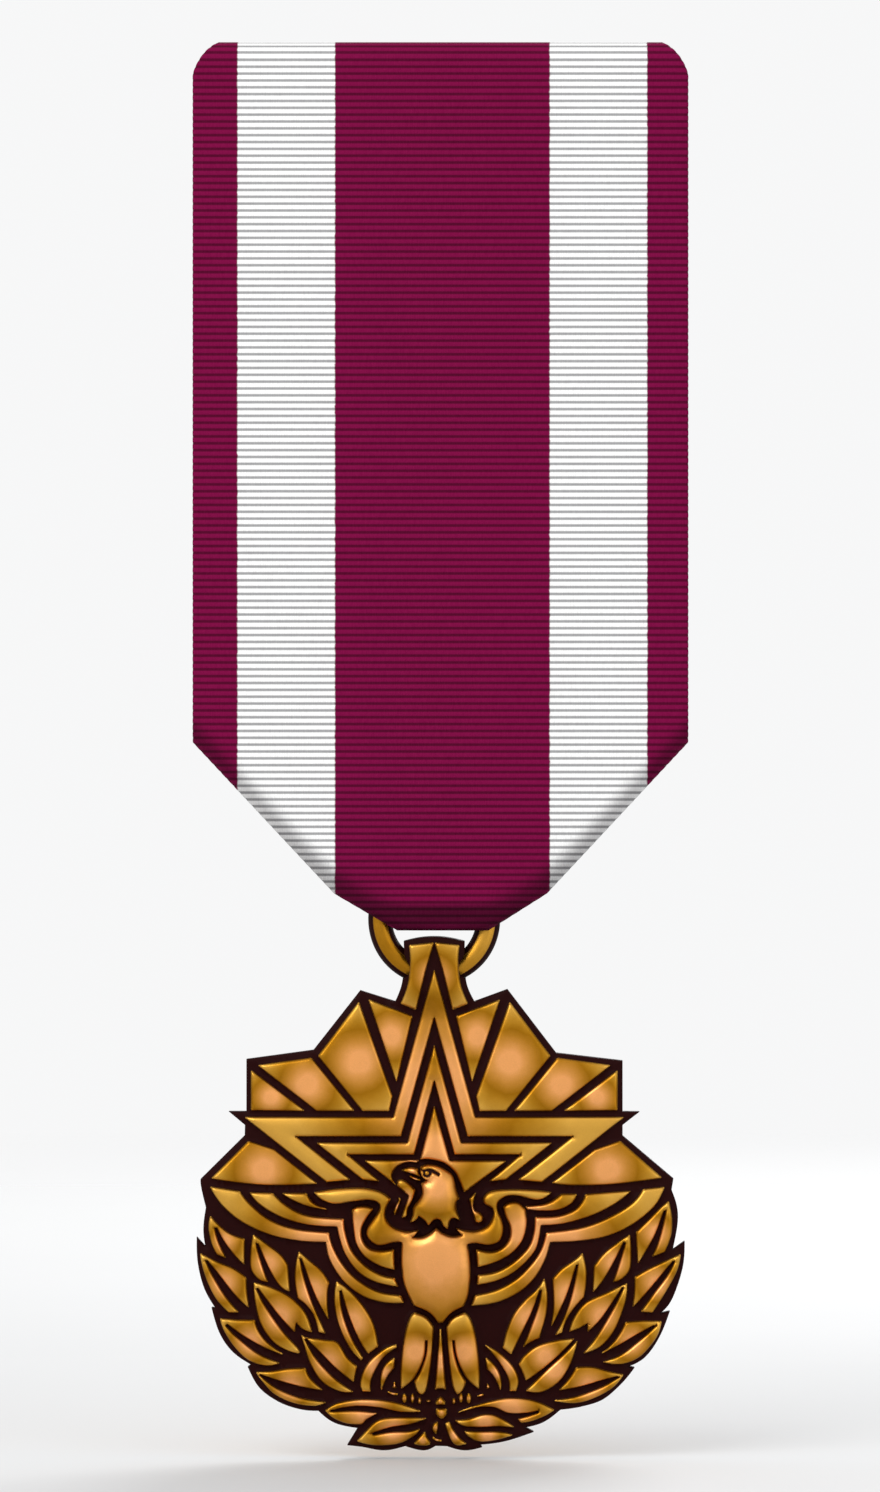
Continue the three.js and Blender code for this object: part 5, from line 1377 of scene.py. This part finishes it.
def floor():
    """A pale round floor under the object that fades into the backdrop."""
    reach, count, rings = 0.6, 72, 8
    z = cad_box[0][2] - FLOOR_GAP * MM
    s = Shader("pale_floor")
    cloud = s.noise(0.02, 3)
    s.set(Base_Color=s.blend(cloud, (0.625, 0.627, 0.63), (0.645, 0.647, 0.65)), Roughness=0.85)
    split = s.add("SeparateXYZ", {"Vector": s.place})
    squares = [s.math("POWER", split.outputs[axis], 2.0) for axis in (0, 1)]
    far = s.math("SQRT", s.math("ADD", *squares))
    s.set(Alpha=s.remap(far, 0.10, 0.5, 1.0, 0.0))
    angles = [2 * math.pi * k / count for k in range(count)]
    verts = [(0, 0, z)]
    for ring in range(1, rings + 1):
        radius = reach * ring / rings
        verts += [(radius * math.cos(angle), radius * math.sin(angle), z) for angle in angles]
    faces = [(0, 1 + k, 1 + (k + 1) % count) for k in range(count)]
    for ring in range(rings - 1):
        a = 1 + ring * count
        b = a + count
        faces += [(a + k, b + k, b + (k + 1) % count, a + (k + 1) % count) for k in range(count)]
    mesh = bpy.data.meshes.new("floor")
    mesh.from_pydata(verts, [], faces)
    mesh.materials.append(s.material)
    obj = bpy.data.objects.new("floor", mesh)
    bpy.context.scene.collection.objects.link(obj)


# ------------------------------------------------------------------ brooch, pin and catch
HINGE_X = -13.6
CATCH_X = 12.9
PIN_Y = 3.0  # the pin's axis, behind the plate
PIN_RADIUS = 0.5


def arc(a, b, radius, start, end, steps):
    """Points on an arc about (a, b), from one angle to another in degrees."""
    angles = np.radians(np.linspace(start, end, steps + 1))
    return [(a + radius * math.cos(t), b + radius * math.sin(t)) for t in angles]


def softened(points, radius):
    """An outline with its sharp corners rounded and held by a point on either side."""
    result = []
    for i, point in enumerate(points):
        here = np.array(point, float)
        back = np.array(points[i - 1], float) - here
        ahead = np.array(points[(i + 1) % len(points)], float) - here
        size = np.linalg.norm(back), np.linalg.norm(ahead)
        if back @ ahead / (size[0] * size[1]) < -0.87:
            result.append(here)
            continue
        reach = min(radius, 0.4 * size[0], 0.4 * size[1])
        start, end = here + back / size[0] * reach, here + ahead / size[1] * reach
        result.append(here + back / size[0] * reach * 1.2)
        for t in (0, 0.33, 0.67, 1):
            result.append((1 - t) ** 2 * start + 2 * t * (1 - t) * here + t * t * end)
        result.append(here + ahead / size[1] * reach * 1.2)
    return np.array(result)


def divided(loop, step):
    """The loop with points added along its long sides."""
    result = []
    for here, after in zip(loop, np.roll(loop, -1, axis=0)):
        pieces = max(1, round(float(np.linalg.norm(after - here)) / step))
        result += [here + (after - here) * k / pieces for k in range(pieces)]
    return np.array(result)


# How a flat outline (a, b) at a level of a slab is placed: the slab is stacked along X, Y or Z.
def across_x(a, b, level):
    return level, a, b


def across_y(a, b, level):
    return a, level, b


def across_z(a, b, level):
    return a, b, level


class Shape:
    """Slabs and turned pieces gathered for one object."""

    def __init__(self):
        self.verts, self.faces, self.smooth = [], [], []

    def add(self, verts, faces, smooth):
        shift = len(self.verts)
        self.verts += [tuple(v) for v in verts]
        self.faces += [tuple(i + shift for i in face) for face in faces]
        self.smooth += [smooth] * len(faces)

    def slab(self, loops, low, high, edge, place):
        """A slab between two levels with rounded edges. Loops after the first are holes."""
        turns = [math.pi / 2 * k / 3 for k in range(4)]
        rows = [(edge * (1 - math.sin(t)), low + edge * (1 - math.cos(t))) for t in turns]
        rows += [(inset, low + high - level) for inset, level in reversed(rows)]
        lower, upper, flat = [], [], []
        for n, loop in enumerate(loops):
            count, base = len(loop), len(self.verts)
            verts, faces = [], []
            for inset, level in rows:
                verts += [place(a, b, level) for a, b in grown(loop, inset if n else -inset)]
            for i in range((len(rows) - 1) * count):
                j = i + 1 if (i + 1) % count else i + 1 - count
                faces.append((i, j, j + count, i + count))
            self.add(verts, faces, True)
            lower += range(base, base + count)
            upper += range(base + (len(rows) - 1) * count, base + len(rows) * count)
            flat.append(grown(loop, edge if n else -edge))
        cap = filled(flat)
        self.faces += [tuple(lower[i] for i in face) for face in cap]
        self.faces += [tuple(upper[i] for i in face) for face in cap]
        self.smooth += [False] * (2 * len(cap))

    def turned(self, profile, centre, axis, closed=False, around=40):
        """A turned piece: the profile gives radius and distance along the axis ("x" or "z")."""
        verts = []
        for radius, along in profile:
            for k in range(around):
                turn = 2 * math.pi * k / around
                a, b = radius * math.cos(turn), radius * math.sin(turn)
                offset = (along, a, b) if axis == "x" else (a, b, along)
                verts.append([c + o for c, o in zip(centre, offset)])
        self.add(verts, tube_faces(len(profile), around, hoop=closed), True)

    def build(self, name, body, material, node=None):
        obj = new_object(name, self.verts, self.faces, body, material)
        obj.data.polygons.foreach_set("use_smooth", self.smooth)
        close_pinholes(obj)
        face_out(obj)
        if node:
            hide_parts(node)
        return obj


def filled(loops):
    """Triangles between the first loop and the holes in it, as indices into all their points."""
    points = np.concatenate(loops)
    starts = np.cumsum([0] + [len(loop) for loop in loops])
    verts, faces, _ = delaunay(points, [list(range(a, b)) for a, b in zip(starts, starts[1:])], 1e-6)
    faces = faces[inside(verts[faces].mean(1), loops)]
    nearest = [int(((points - v) ** 2).sum(1).argmin()) for v in verts]
    cap = [tuple(nearest[i] for i in face) for face in faces]
    return [face for face in cap if len(set(face)) == 3]


def brooch_plate(brass):
    """The stamped plate, with the slot that leaves a bar for the ribbon."""
    half, foot, top, thick = 17.3, -3.7, 6.2, 0.8
    foot_corner, top_corner = 1.5, 3.5
    slot_half, slot_z, slot_radius = 15.25, 4.15, 0.45
    plate = arc(half - foot_corner, foot + foot_corner, foot_corner, -90, 0, 10)
    plate += arc(half - top_corner, top - top_corner, top_corner, 0, 90, 16)
    plate += [(-x, z) for x, z in reversed(plate)]
    slot = arc(slot_half, slot_z, slot_radius, -90, 90, 10)
    slot += arc(-slot_half, slot_z, slot_radius, 90, 270, 10)
    shape = Shape()
    shape.slab([divided(np.array(plate), 1.0), divided(np.array(slot), 1.0)], -thick, 0.0, 0.14, across_y)
    shape.build("brooch_plate_stamped", "brooch", brass, "brooch_plate")


def hinge(brass, steel):
    """A folded bracket with two drilled ears, and the rivet that joins them."""
    half, reach, sheet, bore_radius = 1.25, 2.1, 0.5, 0.56
    left, right = HINGE_X - half, HINGE_X + half
    shape = Shape()
    base = softened([(left, 0), (right, 0), (right, sheet), (left, sheet)], 0.1)
    shape.slab([base], -reach, reach, 0.08, across_z)
    ear = softened([(left, 0), (right, 0)] + arc(HINGE_X, PIN_Y, half, 0, 180, 28), 0.1)
    bore = np.array(arc(HINGE_X, PIN_Y, bore_radius, 0, 345, 23))
    for low in (-reach, reach - sheet):
        shape.slab([ear, bore], low, low + sheet, 0.09, across_z)
    shape.build("hinge_bracket_folded", "brooch", brass, "hinge_bracket")
    head = [
        (0.5, 1.9), (0.5, 2.12), (0.9, 2.12), (0.95, 2.16), (0.95, 2.24), (0.88, 2.36), (0.72, 2.46),
        (0.45, 2.53), (0.15, 2.55),
    ]
    rivet = Shape()
    rivet.turned([(r, -z) for r, z in reversed(head)] + head, (HINGE_X, PIN_Y, 0), "z")
    rivet.build("hinge_rivet_domed", "brooch", steel, "hinge_rivet")


def pin(steel):
    """A drawn stem with a ground point, and the eye that turns on the rivet."""
    centre = (HINGE_X, PIN_Y, 0)
    inner, outer, half = 0.8, 1.3, 1.3
    shape = Shape()
    eye = softened([(inner, -half), (outer, -half), (outer, half), (inner, half)], 0.14)
    shape.turned(eye, centre, "z", closed=True, around=56)
    length, point, neck = 29.0, 3.2, 2.0
    stem = [(PIN_RADIUS * 1.12, 1.05), (PIN_RADIUS * 1.12, 1.5), (PIN_RADIUS, neck)]
    stem += [(PIN_RADIUS, neck + (length - point - neck) * k / 8) for k in range(1, 9)]
    for k in range(1, 15):
        radius = PIN_RADIUS * (1 - (k / 14) ** 1.7)
        stem.append((max(0.012, radius), length - point * (1 - k / 14)))
    shape.turned(stem, centre, "x", around=36)
    shape.build("pin_stem_drawn", "pin", steel, "pin_stem")


def open_ring(inner, outer):
    """A ring sector about the pin's axis, with a parallel-sided mouth towards +Y."""
    half_mouth = 0.68
    start, end = (math.degrees(math.asin(half_mouth / radius)) for radius in (outer, inner))
    ring = arc(PIN_Y, 0, outer, start, 360 - start, 48) + arc(PIN_Y, 0, inner, 360 - end, end, 40)
    return softened(ring, 0.09)


def catch(brass):
    """A C-shaped barrel on a foot, and the sleeve that turns inside it by its lever."""
    half = 1.6
    barrel = Shape()
    barrel.slab([open_ring(1.45, 1.85)], CATCH_X - half, CATCH_X + half, 0.07, across_x)
    obj = barrel.build("catch_barrel", "brooch", brass, "catch_base")
    lever_slot = [(PIN_Y, 0.0)] + arc(PIN_Y, 0, 5.8, 39, 150, 12)
    count = len(lever_slot)
    verts = [across_x(a, b, CATCH_X + side * 0.55) for side in (-1, 1) for a, b in lever_slot]
    faces = [tuple(range(count)), tuple(range(count, 2 * count))]
    faces += [(i, (i + 1) % count, (i + 1) % count + count, i + count) for i in range(count)]
    carve(obj, verts, faces, "FAST")
    foot = Shape()
    saddle = [(0, -2.1), (0.5, -2.1), (0.5, -0.8), (1.4, -0.7), (1.4, 0.7), (0.5, 0.8), (0.5, 2.1), (0, 2.1)]
    foot.slab([softened(saddle, 0.12)], CATCH_X - half, CATCH_X + half, 0.07, across_x)
    foot.build("catch_foot", "brooch", brass)
    sleeve = Shape()
    sleeve.slab([open_ring(0.78, 1.2)], CATCH_X - 1.45, CATCH_X + 1.45, 0.06, across_x)
    turn, lever_start, lever_end, lever_radius = math.radians(52), 0.99, 2.68, 0.22
    bar = [(lever_start, -lever_radius)] + arc(lever_end, 0, lever_radius, -90, 90, 10)
    bar = np.array(bar + [(lever_start, lever_radius)])
    along, beside = np.array([math.cos(turn), math.sin(turn)]), np.array([-math.sin(turn), math.cos(turn)])
    bar = np.array([PIN_Y, 0.0]) + bar[:, :1] * along + bar[:, 1:] * beside
    sleeve.slab([bar], CATCH_X - 0.35, CATCH_X + 0.35, 0.1, across_x)
    sleeve.build("catch_sleeve_turned", "catch", brass, "catch_sleeve")


# ------------------------------------------------------------------ the whole medal
bronze = bronze_material()
weave = ribbon_material()
brass = metal_material("stamped_brass", srgb(214, 172, 92), srgb(196, 150, 76), 0.24)
steel = metal_material("bright_steel", srgb(206, 208, 212), srgb(182, 184, 188), 0.16)
cotton = thread_material()
pendant(bronze)
suspension_ring(bronze)
ribbon_front(weave)
ribbon_rear(weave)
folded_corner("ribbon_folded_corner_left", -1, weave)
folded_corner("ribbon_folded_corner_right", 1, weave)
sewn_tongue(weave)
sewing(cotton)
brooch_plate(brass)
hinge(brass, steel)
pin(steel)
catch(brass)
floor()
lights_and_camera()
